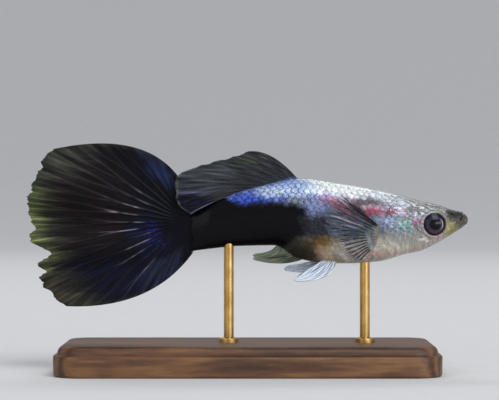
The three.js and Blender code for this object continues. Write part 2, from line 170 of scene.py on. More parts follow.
def flesh_normal(behind, around):
    """Outward direction: the cross product of the two ways along the surface, from small steps each way."""
    step = 0.02
    further, nearer = np.minimum(behind + step, FLESH_END - step), np.maximum(behind - step, step)
    along = flesh(further, around) - flesh(nearer, around)
    out = np.cross(flesh(behind, around + step) - flesh(behind, around - step), along)
    return -out / np.maximum(np.linalg.norm(out, axis=-1, keepdims=True), 1e-9)


print("a place beside the shoulder:", flesh(10.0, 0.5).round(2), "mm")

# %% [markdown]
# Blender stores a mesh as flat lists. Filling them with foreach_set from numpy arrays is far faster than adding
# faces one by one, and it keeps the shapes as formulas.

# %% Meshes from arrays
def make_piece(name, points, quads, tris, material, replaces=()):
    """A mesh object from points in millimetres, rows of four corners and rows of three, riding on the body."""
    corners = np.concatenate([np.ravel(quads), np.ravel(tris)]).astype(np.int32)
    sizes = np.concatenate([np.full(len(quads), 4), np.full(len(tris), 3)])
    mesh = bpy.data.meshes.new(name)
    mesh.vertices.add(len(points))
    mesh.vertices.foreach_set("co", (np.asarray(points) * MM).astype(np.float32).ravel())
    mesh.loops.add(len(corners))
    mesh.loops.foreach_set("vertex_index", corners)
    mesh.polygons.add(len(sizes))
    mesh.polygons.foreach_set("loop_start", (np.cumsum(sizes) - sizes).astype(np.int32))
    mesh.update(calc_edges=True)
    mesh.shade_smooth()
    mesh.materials.append(material)
    piece = bpy.data.objects.new(name, mesh)
    bpy.context.scene.collection.objects.link(piece)
    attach(piece, "root")
    if replaces:
        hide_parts(*replaces)
    print(name, len(quads) * 2 + len(tris), "triangles")
    return piece


def give_colour(piece, name, colours):
    """Stores four numbers for each point, colour and one value more, for the material to read."""
    data = piece.data.attributes.new(name, "FLOAT_COLOR", "POINT").data
    data.foreach_set("color", np.asarray(colours, np.float32).reshape(-1))


def tube_faces(rows, around):
    """Faces of a tube of rings that follow one another, then fans from a point before and a point after it."""
    r, k = np.meshgrid(np.arange(rows - 1), np.arange(around), indexing="ij")
    a, b = r * around + k, r * around + (k + 1) % around
    quads = np.stack([a, b, b + around, a + around], axis=-1).reshape(-1, 4)
    k = np.arange(around)
    after, first, last = (k + 1) % around, rows * around, (rows - 1) * around
    start = np.stack([np.full(around, first), after, k], axis=-1)
    end = np.stack([np.full(around, first + 1), last + k, last + after], axis=-1)
    return quads, np.concatenate([start, end])


print("a tube of 3 rings of 8 points has", len(tube_faces(3, 8)[0]), "quads")

# %% [markdown]
# Colours are written as sRGB hex, as a paint chart gives them, and turned to linear light for the renderer. A
# material is a small graph of nodes, so one function that adds a node with its settings and links is enough.
# Patterns are placed by object coordinates in metres, so a texture's scale counts its cells in a metre: a scale of
# 10000 is a grain of 0.1 mm.

# %% Colours and nodes
def srgb(code):
    """Hex such as #7ea1e8 as three numbers from 0 to 1, still in sRGB."""
    return np.array([int(code[i : i + 2], 16) / 255 for i in (1, 3, 5)])


def to_linear(colour):
    """sRGB to linear light: c / 12.92 below 0.04045, and ((c + 0.055) / 1.055)^2.4 above it."""
    colour = np.asarray(colour, float)
    return np.where(colour <= 0.04045, colour / 12.92, ((np.maximum(colour, 0) + 0.055) / 1.055) ** 2.4)


def paint(code):
    """Hex to the linear colour with full alpha that a node's socket takes."""
    return (*to_linear(srgb(code)), 1.0)


def add_node(tree, kind, settings=None, **links):
    """Adds a node, its kind written without ShaderNode. settings are its own fields, or the stops of a colour ramp
    as (place, hex) pairs. Each link or value goes to the input of that name, with underscores for spaces, or to the
    one at that place, as in in0. A node given as a link stands for its first output."""
    node = tree.nodes.new("ShaderNode" + kind)
    for field, value in (settings or {}).items():
        if field == "stops":
            elements = node.color_ramp.elements
            for _ in value[2:]:
                elements.new(0.5)
            for element, (place, code) in zip(elements, value):
                element.position, element.color = place, paint(code)
        else:
            setattr(node, field, value)
    for name, value in links.items():
        socket = node.inputs[int(name[2:]) if name[2:].isdigit() else name.replace("_", " ")]
        value = value.outputs[0] if isinstance(value, bpy.types.Node) else value
        if isinstance(value, bpy.types.NodeSocket):
            tree.links.new(value, socket)
        else:
            socket.default_value = value
    return node


def new_material(name):
    """An empty material, its graph, and the place on the object in metres, which stays with the piece."""
    material = bpy.data.materials.new(name)
    material.use_nodes = True
    tree = material.node_tree
    tree.nodes.clear()
    return material, tree, add_node(tree, "TexCoord").outputs["Object"]


print("mid grey #808080 in linear light:", paint("#808080")[0].round(3))

# %% [markdown]
# The photo's camera looks at the right side, level and from straight abeam, and a long lens keeps both ends of
# the fish at one scale. At 0.1 mm for a pixel, the picture is 49.9 mm wide where the fish is.

# %% Camera
PIXEL = 0.1
PICTURE = (499, 400)
SNOUT_PIXEL = (467.8, 219.0)
LENS = 150.0
SENSOR = 36.0

centre_behind = (SNOUT_PIXEL[0] - PICTURE[0] / 2) * PIXEL
centre_above = (SNOUT_PIXEL[1] - PICTURE[1] / 2) * PIXEL
centre_x, centre_z = at(centre_behind, centre_above)
distance = PICTURE[0] * PIXEL * LENS / SENSOR
camera = bpy.data.objects.new("camera", bpy.data.cameras.new("camera"))
camera.data.lens = LENS
camera.data.sensor_width = SENSOR
camera.data.clip_start = 0.01
camera.data.clip_end = 20
camera.location = Vector((centre_x, -distance, centre_z)) * MM
camera.rotation_euler = (np.pi / 2, 0, 0)
bpy.context.scene.collection.objects.link(camera)
bpy.context.scene.camera = camera
print(f"camera {distance:.0f} mm away, {centre_z:.1f} mm over the floor")

# %% [markdown]
# A fish's markings are patches of pigment cells with soft, ragged borders. Each patch here is an ellipse on the
# flank, laid over those before it, and a gentle ripple bends every border. A colour is kept with a fourth number:
# its opacity in a fin, and on the body its gleam, which is how strongly the silvery cells under the scales shine.

# %% Ripples and patches
WAVES = 8


def bell(distance, width):
    """exp(-(distance / width)^2), a soft bump 1 high."""
    return np.exp(-((distance / width) ** 2))


def between(value, start, full, fade, end):
    """0 up to start, 1 from full to fade and 0 again from end: one smooth step up times one down."""
    return smooth(value, start, full) * smooth(value, end, fade)


def ripple(u, v, size, seed):
    """Smooth noise, mostly from -1 to 1: sine waves of about that size, added up in seeded random directions."""
    draw = np.random.default_rng(seed)
    turn, phase = draw.uniform(0, 2 * np.pi, WAVES), draw.uniform(0, 2 * np.pi, WAVES)
    often = 2 * np.pi / (size * draw.uniform(0.7, 1.6, WAVES))
    waves = zip(turn, phase, often)
    return sum(np.sin(f * (u * np.cos(a) + v * np.sin(a)) + p) for a, p, f in waves) / (0.4 * WAVES)


def ripples(u, v, *waves):
    """Ripples of several (height, size, seed), added up."""
    return sum(height * ripple(u, v, size, seed) for height, size, seed in waves)


def patch(behind, above, centre, half, tilt, edge):
    """1 inside an ellipse and 0 outside: with d the distance in half sizes, it falls from 1 - edge to 1 + edge."""
    c, s = np.cos(np.radians(tilt)), np.sin(np.radians(tilt))
    u, v = behind - centre[0], above - centre[1]
    d = np.hypot((u * c + v * s) / half[0], (v * c - u * s) / half[1])
    return 1 - smooth(d, 1 - edge, 1 + edge)


def patch_layers(behind, above, patches):
    """The patches of a table as layers: a weight, a colour and its fourth number."""
    for _, code, centre, half, tilt, edge, strength, fourth in patches:
        yield strength * patch(behind, above, centre, half, tilt, edge), code, fourth


def layered(shape, code, fourth, *layers):
    """An array of one sRGB colour and its fourth number, with layers laid over it in turn. Each moves what is
    there towards its own colour and number, by its weight from 0 to 1."""
    colours = np.full((*shape, 4), [*srgb(code), fourth])
    for weight, code, fourth in layers:
        colours += (np.array([*srgb(code), fourth]) - colours) * weight[..., None]
    return colours


def stored(colours):
    """The colours as the mesh keeps them: linear, with the fourth number beside them."""
    return np.concatenate([to_linear(colours[..., :3]), colours[..., 3:]], axis=-1)


sample = ripple(np.linspace(0, 50, 500), 0, 1.0, 1)
print(f"a ripple runs from {sample.min():.2f} to {sample.max():.2f}")

# %% [markdown]
# The photo's fish has a silvery front with red streaks, a sky-blue band along the back and a black rear body that
# breeders call a tuxedo. The table is in the order of laying, so that small flecks lie over broad patches.

# %% Markings of the body


# Name, colour, place behind and above the snout, half length and half height, tilt in degrees, softness,
# strength and gleam
BODY_PATCHES = [
    ("silver back", "#cbd6dc", (12.0, 2.6), (8.0, 1.3), 9, 0.35, 0.9, 0.3),
    ("mint shoulder", "#f2faf8", (12.6, 2.95), (5.4, 0.95), 9, 0.35, 1.0, 0.2),
    ("pale nape", "#dbe3ee", (8.4, 1.95), (2.6, 0.6), 12, 0.5, 0.85, 0.3),
    ("lilac shoulder", "#b9bfdf", (11.2, 2.0), (2.6, 0.4), 9, 0.6, 0.6, 0.3),
    ("blue-grey flank", "#3d4556", (13.2, -0.8), (2.6, 1.9), 0, 0.4, 0.9, 0.15),
    ("dark flank", "#23252c", (15.0, -1.0), (1.3, 2.0), 0, 0.45, 0.85, 0.1),
    ("lavender", "#8693c4", (15.1, 1.5), (1.8, 1.15), -10, 0.5, 0.95, 0.45),
    ("ochre", "#88652e", (14.0, -3.0), (2.1, 1.2), 0, 0.5, 0.85, 0.1),
    ("ochre glow", "#b08e40", (13.2, -3.4), (0.8, 0.7), 0, 0.7, 0.7, 0.1),
    ("rust", "#6a4433", (15.2, -3.3), (0.9, 1.0), 0, 0.6, 0.7, 0.1),
    ("olive", "#23231a", (16.7, -3.3), (1.6, 1.3), 20, 0.45, 0.9, 0.05),
    ("belly", "#bab4a9", (9.2, -3.4), (5.4, 1.5), 0, 0.35, 0.95, 0.1),
    ("rosy belly", "#bb9a91", (9.9, -3.4), (2.6, 0.3), 0, 0.6, 0.6, 0.1),
    ("cheek", "#949692", (6.4, -1.7), (2.1, 0.8), 0, 0.5, 0.75, 0.2),
    ("gill cover blue", "#8b99bd", (8.4, -0.3), (1.2, 0.6), 0, 0.6, 0.8, 0.35),
    ("gill cover teal", "#76979c", (6.6, -0.7), (1.2, 0.6), -12, 0.6, 0.85, 0.4),
    ("teal heart", "#6da48f", (6.3, -0.6), (0.5, 0.35), -12, 0.7, 0.8, 0.4),
    # Painted glint: the small mint patch on the gill cover stands for a highlight.
    ("painted mint glint", "#a4dcc6", (6.7, -0.45), (0.4, 0.16), 20, 0.7, 0.8, 0.5),
    ("blue fleck", "#b0bfe2", (8.2, -0.05), (0.5, 0.2), 10, 0.7, 0.8, 0.5),
    ("mauve spot", "#80596f", (5.35, -0.35), (0.5, 0.55), 0, 0.5, 0.9, 0.15),
    ("head grey", "#84857f", (3.3, 1.3), (3.4, 0.75), 15, 0.4, 0.85, 0.2),
    ("lilac over the red", "#8f8fab", (9.3, 1.55), (2.8, 0.4), 6, 0.6, 0.7, 0.3),
    ("dusk over the red", "#41373c", (10.3, 1.72), (2.0, 0.4), 4, 0.6, 0.85, 0.1),
    ("front red streak", "#8b4458", (8.5, 0.78), (2.2, 0.34), 0, 0.6, 0.9, 0.3),
    ("bright red", "#a84a62", (9.75, 0.75), (0.75, 0.24), 0, 0.7, 0.75, 0.3),
    ("lilac in the red", "#a8a2c4", (8.3, 0.95), (0.45, 0.16), 12, 0.7, 0.8, 0.35),
    ("lilac fleck", "#bdbbe0", (6.9, 0.62), (0.5, 0.28), 10, 0.6, 0.8, 0.4),
    ("violet-grey cheek", "#6d6c86", (7.4, -1.0), (1.3, 0.28), -8, 0.7, 0.6, 0.3),
    ("rear red streak", "#9a4c62", (12.6, 1.2), (1.9, 0.58), 28, 0.6, 0.9, 0.2),
    ("red-brown gap", "#4c2c38", (11.1, 1.05), (0.75, 0.6), 0, 0.5, 0.85, 0.1),
    ("pale brow", "#e2e6e6", (5.4, 1.42), (1.5, 0.16), 14, 0.7, 0.7, 0.5),
    ("smudge over the eye", "#4e4e50", (5.3, 0.95), (1.1, 0.3), 5, 0.6, 0.85, 0.1),
    ("muzzle", "#5f5b50", (0.9, -0.2), (1.1, 0.9), 0, 0.5, 0.95, 0.1),
    ("yellow before the eye", "#a19c66", (1.95, -0.8), (0.6, 1.1), 8, 0.5, 0.85, 0.15),
    ("snout", "#221f1d", (1.5, 0.35), (0.85, 0.55), 0, 0.5, 0.9, 0.05),
    ("lips", "#504b44", (0.3, 0.1), (0.55, 0.7), 0, 0.5, 0.8, 0.1),
    ("jaw", "#7d7a50", (1.5, -1.2), (0.8, 0.4), -35, 0.5, 0.8, 0.1),
    ("pink chin", "#c9a7b4", (5.0, -2.75), (0.9, 0.2), -14, 0.7, 0.6, 0.3),
    ("chin", "#aaa199", (3.9, -2.5), (1.9, 0.5), -22, 0.5, 0.85, 0.2),
    # Painted highlights: the white glint and the small glint.
    ("white glint", "#f2f5f6", (4.68, -2.12), (0.42, 0.17), 0, 0.6, 0.9, 0.6),
    ("small glint", "#dfe6ee", (5.35, 0.25), (0.3, 0.16), 30, 0.6, 0.7, 0.5),
    ("sky band", "#9bb6f6", (20.0, 2.75), (4.4, 1.05), -8, 0.35, 1.0, 0.45),
    ("bright band", "#c6d8ff", (19.4, 2.6), (2.9, 0.6), -6, 0.6, 0.9, 0.45),
    ("cobalt rear", "#4a60c8", (22.6, 2.15), (1.8, 0.7), -8, 0.5, 0.9, 0.5),
    ("cobalt hem", "#3450d4", (21.2, 1.78), (3.0, 0.35), -4, 0.7, 0.8, 0.5),
]
tuxedo_top = through([[15, 0.9], [17, 1.35], [20, 1.55], [22.8, 1.45], [23.8, 1.9], [24.7, 2.7], [28, 3.2]])


def markings(behind, above, out):
    """sRGB colour and gleam of the skin at a place. A gradient from belly to back comes first, then the patches,
    the ring round the eye, streaks, the black rear body and fine mottling. The fine noises also run with the
    distance out from the middle, or they would draw stripes across the nape."""
    level = above + 0.9 * out
    bent = behind + ripples(behind, above, (0.22, 1.3, 1), (0.08, 0.4, 2))
    lifted = above + ripples(behind, above, (0.16, 1.1, 3), (0.06, 0.35, 4))
    height = np.clip((above - belly(behind)) / np.maximum(back(behind) - belly(behind), 0.1), 0, 1)
    from_eye = np.hypot(behind - EYE_BEHIND, above - EYE_ABOVE)
    low_side = smooth(above - EYE_ABOVE + 0.8 * (EYE_BEHIND - behind), 0.7, -0.7)
    streaky = smooth(ripple(behind * 0.6, level, 0.34, 8) + 0.6 * ripple(behind, level, 0.16, 13), 0.25, 1.0)
    dusky = smooth(ripple(behind * 0.7, level, 0.3, 9) + 0.6 * ripple(behind, level, 0.15, 14), 0.2, 1.0)
    on_head = between(behind, 2.0, 3.2, 7.8, 9.6) * smooth(above, -1.9, -0.8)
    on_flank = smooth(behind, 9.5, 12.0) * smooth(above, -2.6, -1.0)
    under_shoulder = smooth(lifted - 0.11 * (behind - 8), 1.9, 1.3)
    front = 15.9 + 1.5 * np.clip(-1.5 - lifted, 0, 3)
    black = smooth(bent, front - 0.6, front + 1.1) * smooth(lifted - tuxedo_top(behind), 0.4, -0.3)
    hem = smooth(above - belly(behind), 0.28, 0.08) * smooth(behind, 18.5, 20.5)
    mottle = 1 + ripples(behind, level, (0.1, 0.55, 5), (0.07, 0.2, 6))
    colours = layered(
        np.shape(behind), "#9a9088", 0.25,
        (smooth(height, 0.25, 0.45), "#666a72", 0.25),
        (smooth(height, 0.6, 0.8), "#8d959b", 0.35),
        *patch_layers(bent, lifted, BODY_PATCHES),
        (bell(from_eye - 1.27, 0.15) * mix(0.3, 0.85, low_side), "#b7a6a3", 0.15),
        (streaky * (0.42 * on_head + 0.2 * on_flank), "#eef2f6", 0.4),
        (dusky * (0.5 * on_head + 0.45 * on_flank * under_shoulder), "#33353c", 0.1),
        (black, "#04040a", 0.05),
        (0.5 * hem, "#2c2826", 0.1),
    )
    colours[..., :3] = np.clip(colours[..., :3] * mottle[..., None], 0, 1)
    return colours


print(len(BODY_PATCHES), "patches, from", BODY_PATCHES[0][0], "to", BODY_PATCHES[-1][0])

# %% [markdown]
# Living fish skin is thin and clear, wet with mucus, over silvery cells and specks of dark pigment. A clear coat
# over a slightly metallic base gives that: the coat makes the sharp wet glints, and the base a broad, soft sheen.
# On the head the dark specks are small stars 0.1 mm across, so a Voronoi pattern of that spacing draws them.

# %% Wet skin
TISSUE_IOR, SLIME_IOR = 1.38, 1.34
MULTIPLY = {"data_type": "RGBA", "blend_type": "MULTIPLY"}


def speckled(tree, place, colour, scale, left):
    """Multiplies a colour by dark specks, one to a Voronoi cell of a place that noise has bent, so that they are
    ragged. A noise of 0.8 mm makes them larger here and smaller there, and they fade away down the belly. left is
    the share of the colour left in one."""
    wobble = add_node(tree, "TexNoise", Vector=place, Scale=scale * 1.7, Detail=2.0).outputs["Color"]
    bend = (0.55 / scale,) * 3
    bent = add_node(tree, "VectorMath", {"operation": "MULTIPLY_ADD"}, in0=wobble, in1=bend, in2=place)
    dots = add_node(tree, "TexVoronoi", {"feature": "F1"}, Vector=bent, Scale=scale, Randomness=1.0)
    spread = add_node(tree, "TexNoise", Vector=place, Scale=1300.0, Detail=3.0)
    size = add_node(tree, "MapRange", Value=spread, From_Min=0.35, From_Max=0.65, To_Max=0.45)
    dark = add_node(tree, "MapRange", Value=dots, From_Min=size, From_Max=0.55, To_Min=left, To_Max=1.0)
    height = add_node(tree, "SeparateXYZ", in0=place).outputs["Z"]
    low, high = (SNOUT_Z - 2.9) * MM, (SNOUT_Z - 1.0) * MM
    shown = add_node(tree, "MapRange", Value=height, From_Min=low, From_Max=high, To_Min=0.2)
    return add_node(tree, "Mix", MULTIPLY, in0=shown, in6=colour, in7=dark).outputs[2]


def wet_skin():
    """Wet fish skin with specks 0.1 mm apart and a grain of 0.2 mm, drier and wetter in clouds of 1.1 mm."""
    material, tree, place = new_material("wet_fish_skin")
    colour = add_node(tree, "Attribute", {"attribute_name": "markings"})
    cloud = add_node(tree, "TexNoise", Vector=place, Scale=900.0, Detail=3.0)
    grain = add_node(tree, "TexNoise", Vector=place, Scale=5000.0, Detail=2.0)
    bump = add_node(tree, "Bump", Strength=0.25, Distance=0.00004, Height=grain)
    rough = add_node(tree, "MapRange", Value=cloud, To_Min=0.28, To_Max=0.5)
    shader = add_node(
        tree, "BsdfPrincipled", Base_Color=speckled(tree, place, colour, 10000.0, 0.45), Roughness=rough,
        Metallic=colour.outputs["Alpha"], Normal=bump, IOR=TISSUE_IOR, Specular_IOR_Level=0.3,
        Coat_Weight=0.3, Coat_Roughness=0.08, Coat_IOR=SLIME_IOR,
    )
    add_node(tree, "OutputMaterial", Surface=shader)
    return material


SKIN = wet_skin()
print("wet skin has", len(SKIN.node_tree.nodes), "nodes")

# %% [markdown]
# What stands up or lies deep on the head is relief, a height over the plain flesh in millimetres: the eye sockets,
# the lips, the nostrils and the free edge of the gill cover. Each is a bell or a smooth step of a distance, such as
# the distance from the line of the mouth.

# %% Relief of the head
EYE_RADIUS = 1.08
MOUTH_CORNER = np.array([0.98, -0.36])
MOUTH_FRONT = np.array([0.46, 0.56])
LIP_ROLLS = [(0.06, 0.17, 0.12), (0.06, -0.17, 0.12), (-0.03, 0.42, 0.08), (-0.025, -0.42, 0.08)]
EYE_FOLDS = [(0.09, 1.25, 0.12), (-0.03, 1.52, 0.1)]
NOSTRILS = [(1.7, 0.5, 1.0), (2.2, 0.72, 0.7)]
SCALE_LIFT = 0.055
GILL_BACK, GILL_MIDDLE = 8.65, -1.2


def gill_line(above):
    """The free edge of the gill cover: a parabola, furthest back at its middle."""
    return GILL_BACK - 0.13 * (above - GILL_MIDDLE) ** 2


def folds(distance, *rows):
    """Bells of (height, place, width) along a distance, added up."""
    return sum(height * bell(distance - place, width) for height, place, width in rows)


def mouth_relief(behind, above):
    """A cleft along the line of the mouth between two rolls: bells of the distance from that line."""
    way = MOUTH_FRONT - MOUTH_CORNER
    long = np.hypot(*way)
    u, v = behind - MOUTH_CORNER[0], above - MOUTH_CORNER[1]
    along = (u * way[0] + v * way[1]) / long
    off = (u * way[1] - v * way[0]) / long
    cleft = -0.15 * bell(off, 0.045) * smooth(along, -0.12, 0.1)
    return cleft + smooth(along, -0.22, 0.12) * folds(off, *LIP_ROLLS)


def scaled_from(above):
    """How far behind the snout the coat of scales begins: on the nape above the gill cover, and behind it below."""
    return mix(gill_line(above) + 0.1, 6.1, smooth(above, 0.95, 1.6))


def relief(behind, above, around):
    """Height over the plain flesh, in millimetres."""
    from_eye = np.hypot(behind - EYE_BEHIND, above - EYE_ABOVE)
    height = -0.5 * smooth(from_eye, 1.13, 1.03) + folds(from_eye, *EYE_FOLDS)
    height += mouth_relief(behind, above)
    for pit_behind, pit_above, size in NOSTRILS:
        away = np.hypot(behind - pit_behind, above - pit_above)
        height += size * (0.07 * bell(away - 0.15, 0.07) - 0.16 * bell(away, 0.08))
    beside = smooth(np.abs(np.cos(around)), 0.2, 0.65)
    before_edge = gill_line(above) - behind
    cover = smooth(behind, 5.2, 8.0) * smooth(before_edge, -0.1, 0.16) * smooth(above, 1.9, 1.1)
    deep = mix(0.3, 1, smooth(above, -2.4, -0.8))
    height += beside * deep * (0.15 * cover - 0.03 * bell(before_edge + 0.16, 0.1) * smooth(above, 1.9, 1.1))
    height -= beside * 0.025 * bell(gill_line(above) - 2.3 - behind, 0.08) * smooth(above, 0.9, 0.3)
    height -= SCALE_LIFT * smooth(behind - scaled_from(above), 0.0, 0.25)
    return height


print(f"the gill cover ends {gill_line(GILL_MIDDLE):.2f} mm behind the snout")

# %% [markdown]
# The skin of head, trunk and tail stalk is one tube of rings, so no seam shows. The rings stand close together on
# the head, where a step must be fine enough for lips and nostrils. The relief is added along the outward
# direction, and where the coat of scales begins the skin drops a little to make room for it.

# %% Skin
ROW_STEP = through([[0, 0.03], [2.6, 0.034], [4.8, 0.045], [9.3, 0.055], [10.5, 0.16], [28.1, 0.2]])
AROUND = 288


def row_places():
    """Places of the rings: a quarter circle's even steps over the nose, then steps that grow as ROW_STEP says."""
    nose = NOSE_ROUND * (1 - np.cos(np.linspace(0.12, np.pi / 2, 8, endpoint=False)))
    fine = np.linspace(NOSE_ROUND, FLESH_END - END_ROUND, 4000)
    count = np.concatenate([[0], np.cumsum(np.diff(fine) / ROW_STEP(fine[:-1]))])
    body = np.interp(np.arange(0, int(count[-1])), count, fine)
    end = np.linspace(FLESH_END - END_ROUND, FLESH_END, 16)
    return np.concatenate([nose, body, end])


def skin():
    """The whole skin: flesh plus relief along the outward direction, on a grid of rings."""
    rows = row_places()
    behind, around = np.meshgrid(rows, np.linspace(0, 2 * np.pi, AROUND, endpoint=False), indexing="ij")
    plain = flesh(behind, around)
    height = relief(behind, plain[..., 2] - SNOUT_Z, around) * closing(behind)
    points = plain + flesh_normal(behind, around) * height[..., None]
    tips = np.array([points[0].mean(0) + [0.01, 0, 0], points[-1].mean(0) - [0.1, 0, 0]])
    points = np.concatenate([points.reshape(-1, 3), tips])
    quads, tris = tube_faces(len(rows), AROUND)
    piece = make_piece("skin", points, quads, tris, SKIN, ("head", "trunk", "tail_stalk"))
    give_colour(piece, "markings", stored(markings(SNOUT_X - points[:, 0], points[:, 2] - SNOUT_Z, points[:, 1])))


skin()

# %% [markdown]
# Each scale is a thin round plate that overlaps the next like a roof tile, and the net they make in the photo
# has a mesh of about 0.6 mm. Every scale is the same small lens of rings, bent onto the body: its own two
# coordinates are added to the body's, and its height goes along the outward direction. All the scales are
# worked out as one array.

# %% Scale finish
def scaled_skin():
    """Scales of a fish as mother-of-pearl over dark specks 0.13 mm apart. Faint growth rings, a sine of how near
    the rim a point is, turn the gleam rougher and smoother, and a noise of 0.4 mm makes it uneven."""
    material, tree, place = new_material("guanine_scales")
    colour = add_node(tree, "Attribute", {"attribute_name": "markings"})
    rim = add_node(tree, "Attribute", {"attribute_name": "rim"})
    cloud = add_node(tree, "TexNoise", Vector=place, Scale=2600.0, Detail=3.0)
    rings = add_node(tree, "Math", {"operation": "SINE"}, in0=rim.outputs["Fac"])
    bump = add_node(tree, "Bump", Strength=0.3, Distance=0.00002, Height=cloud)
    rough = add_node(tree, "MapRange", Value=rings, To_Min=0.28, To_Max=0.44)
    shader = add_node(
        tree, "BsdfPrincipled", Base_Color=speckled(tree, place, colour, 7500.0, 0.5), Roughness=rough,
        Metallic=colour.outputs["Alpha"], Normal=bump, IOR=TISSUE_IOR, Specular_IOR_Level=0.14,
        Coat_Weight=0.16, Coat_Roughness=0.1, Coat_IOR=SLIME_IOR,
    )
    add_node(tree, "OutputMaterial", Surface=shader)
    return material


SCALES = scaled_skin()
print("scales are", SCALES.name)

# %% Places of the scales
SCALE_PITCH = 0.62
SCALE_COLUMNS, SCALE_ROWS = 37, 36
COAT_START = 5.3


def evenly_around(share):
    """Angle round the section for a share of its outline, so that rows are as far apart on the back as on the
    flank. It comes from the running length of an ellipse about twice as high as it is wide."""
    angle = np.linspace(0, 2 * np.pi, 721)
    length = np.concatenate([[0], np.cumsum(np.hypot(np.diff(np.cos(angle)), 1.9 * np.diff(np.sin(angle))))])
    return np.interp(share % 1.0, length / length[-1], angle)


def scale_roots():
    """Where the scales stand: rows along the body, every other one half a step on, with a little seeded wander."""
    draw = np.random.default_rng(7)
    column, row = np.meshgrid(np.arange(SCALE_COLUMNS), np.arange(SCALE_ROWS), indexing="ij")
    behind = COAT_START + SCALE_PITCH * (column + 0.5 * (row % 2))
    share = (row + 0.5) / SCALE_ROWS
    behind = (behind + draw.uniform(-0.06, 0.06, behind.shape)).ravel()
    around = evenly_around((share + draw.uniform(-0.004, 0.004, share.shape)).ravel())
    above = flesh(behind, around)[:, 2] - SNOUT_Z
    keep = (behind > scaled_from(above) + 0.3) & (behind < TAIL_ROOT - 0.05)
    return behind[keep], around[keep]


scale_behind, scale_around = scale_roots()
print(len(scale_behind), "scales")

# %% One scale
SCALE_THICK = 0.015
SCALE_SUNK, SCALE_RISE, SCALE_DOME, SCALE_CROWN = 0.031, 0.055, 0.005, 0.006
SCALE_RINGS = (0.64, 0.94, 1.0)
UNDER_RING = 0.9
SCALE_SPOKES = 12


def scale_shape():
    """One scale of 60 faces: rings of a lens, as along, across, height and how near the rim, over the top and back
    below. It rises towards its rear edge, and is domed as 1 - radius squared."""
    spokes = np.linspace(0, 2 * np.pi, SCALE_SPOKES, endpoint=False)
    near, turn = np.meshgrid([*SCALE_RINGS, UNDER_RING], spokes, indexing="ij")
    below = np.zeros(near.shape)
    below[-1] = 1
    along = near * np.cos(turn)
    across = near * np.sin(turn) * (1 - 0.12 * along)
    height = -SCALE_SUNK + SCALE_RISE * (along + 1) / 2 + SCALE_DOME * (1 - near**2) - SCALE_THICK * below
    tips = [(0, 0, SCALE_CROWN, 0), (0, 0, -SCALE_THICK, 0.5)]
    flat = np.stack([along, across, height, near * (1 - below)], axis=-1).reshape(-1, 4)
    return np.concatenate([flat, tips])


print("a scale has", len(scale_shape()), "points")

# %% Colours of the scales
NET_DARK = 0.8


def scale_colours(draw, behind, above, out, b, points, long, near):
    """Colours over each scale: the markings at its root mixed with those at each point, brighter in the middle and
    dimmer at the rim as painted highlight on its dome, under a net of dark rims that is strongest on the rear edge,
    on the rear body and up the flank."""
    banded = smooth(behind, 14.0, 17.5)
    root = markings(behind, above, out)
    uneven = mix(0.4, 1, smooth(behind, 13.5, 17.0))[:, None]
    root[:, :3] *= 1 + uneven * draw.uniform(-0.2, 0.14, (len(behind), 1))
    colours = mix(markings(b, points[..., 2] - SNOUT_Z, points[..., 1]), root[:, None, :], 0.35)
    # Painted highlight: each scale is brighter in the middle and dimmer at the rim, as light falls on its dome.
    colours[..., :3] *= (0.93 + 0.12 * (1 - near**2))[..., None]
    seen = mix(0.18, 0.95, banded) * mix(0.2, 1, smooth(above - belly(behind), 1.0, 3.0))
    seen = seen * draw.uniform(0.4, 1.0, seen.shape)
    broken = 0.7 + 0.45 * ripple(b, points[..., 2], 0.4, 12)
    rear_edge = mix(mix(0.08, 0.5, banded)[:, None], 1, smooth(np.clip(long, 0, 1), 0.5, 0.92))
    net = np.clip(smooth(near, 0.72, 1.0) * rear_edge * seen[:, None] * broken, 0, 1)
    colours[..., :3] *= (1 - NET_DARK * net)[..., None]
    colours[..., 3] *= 1 - 0.6 * net
    return stored(np.clip(colours, 0, 1)).reshape(-1, 4)


print(f"a scale's rim keeps {1 - NET_DARK:.0%} of its light or more")

# %% Scale coat
SCALE_LONG, SCALE_WIDE = 0.66, 0.435
ROW_GAP = 0.558
GROWTH_TURN = 40  # radians of the growth rings' sine from the middle to the rim
CHART_LENGTH, CHART_SCALE = 30, 0.0015


def give_value(piece, name, values):
    """Stores one number for each point."""
    data = piece.data.attributes.new(name, "FLOAT", "POINT").data
    data.foreach_set("value", np.asarray(values, np.float32).ravel())


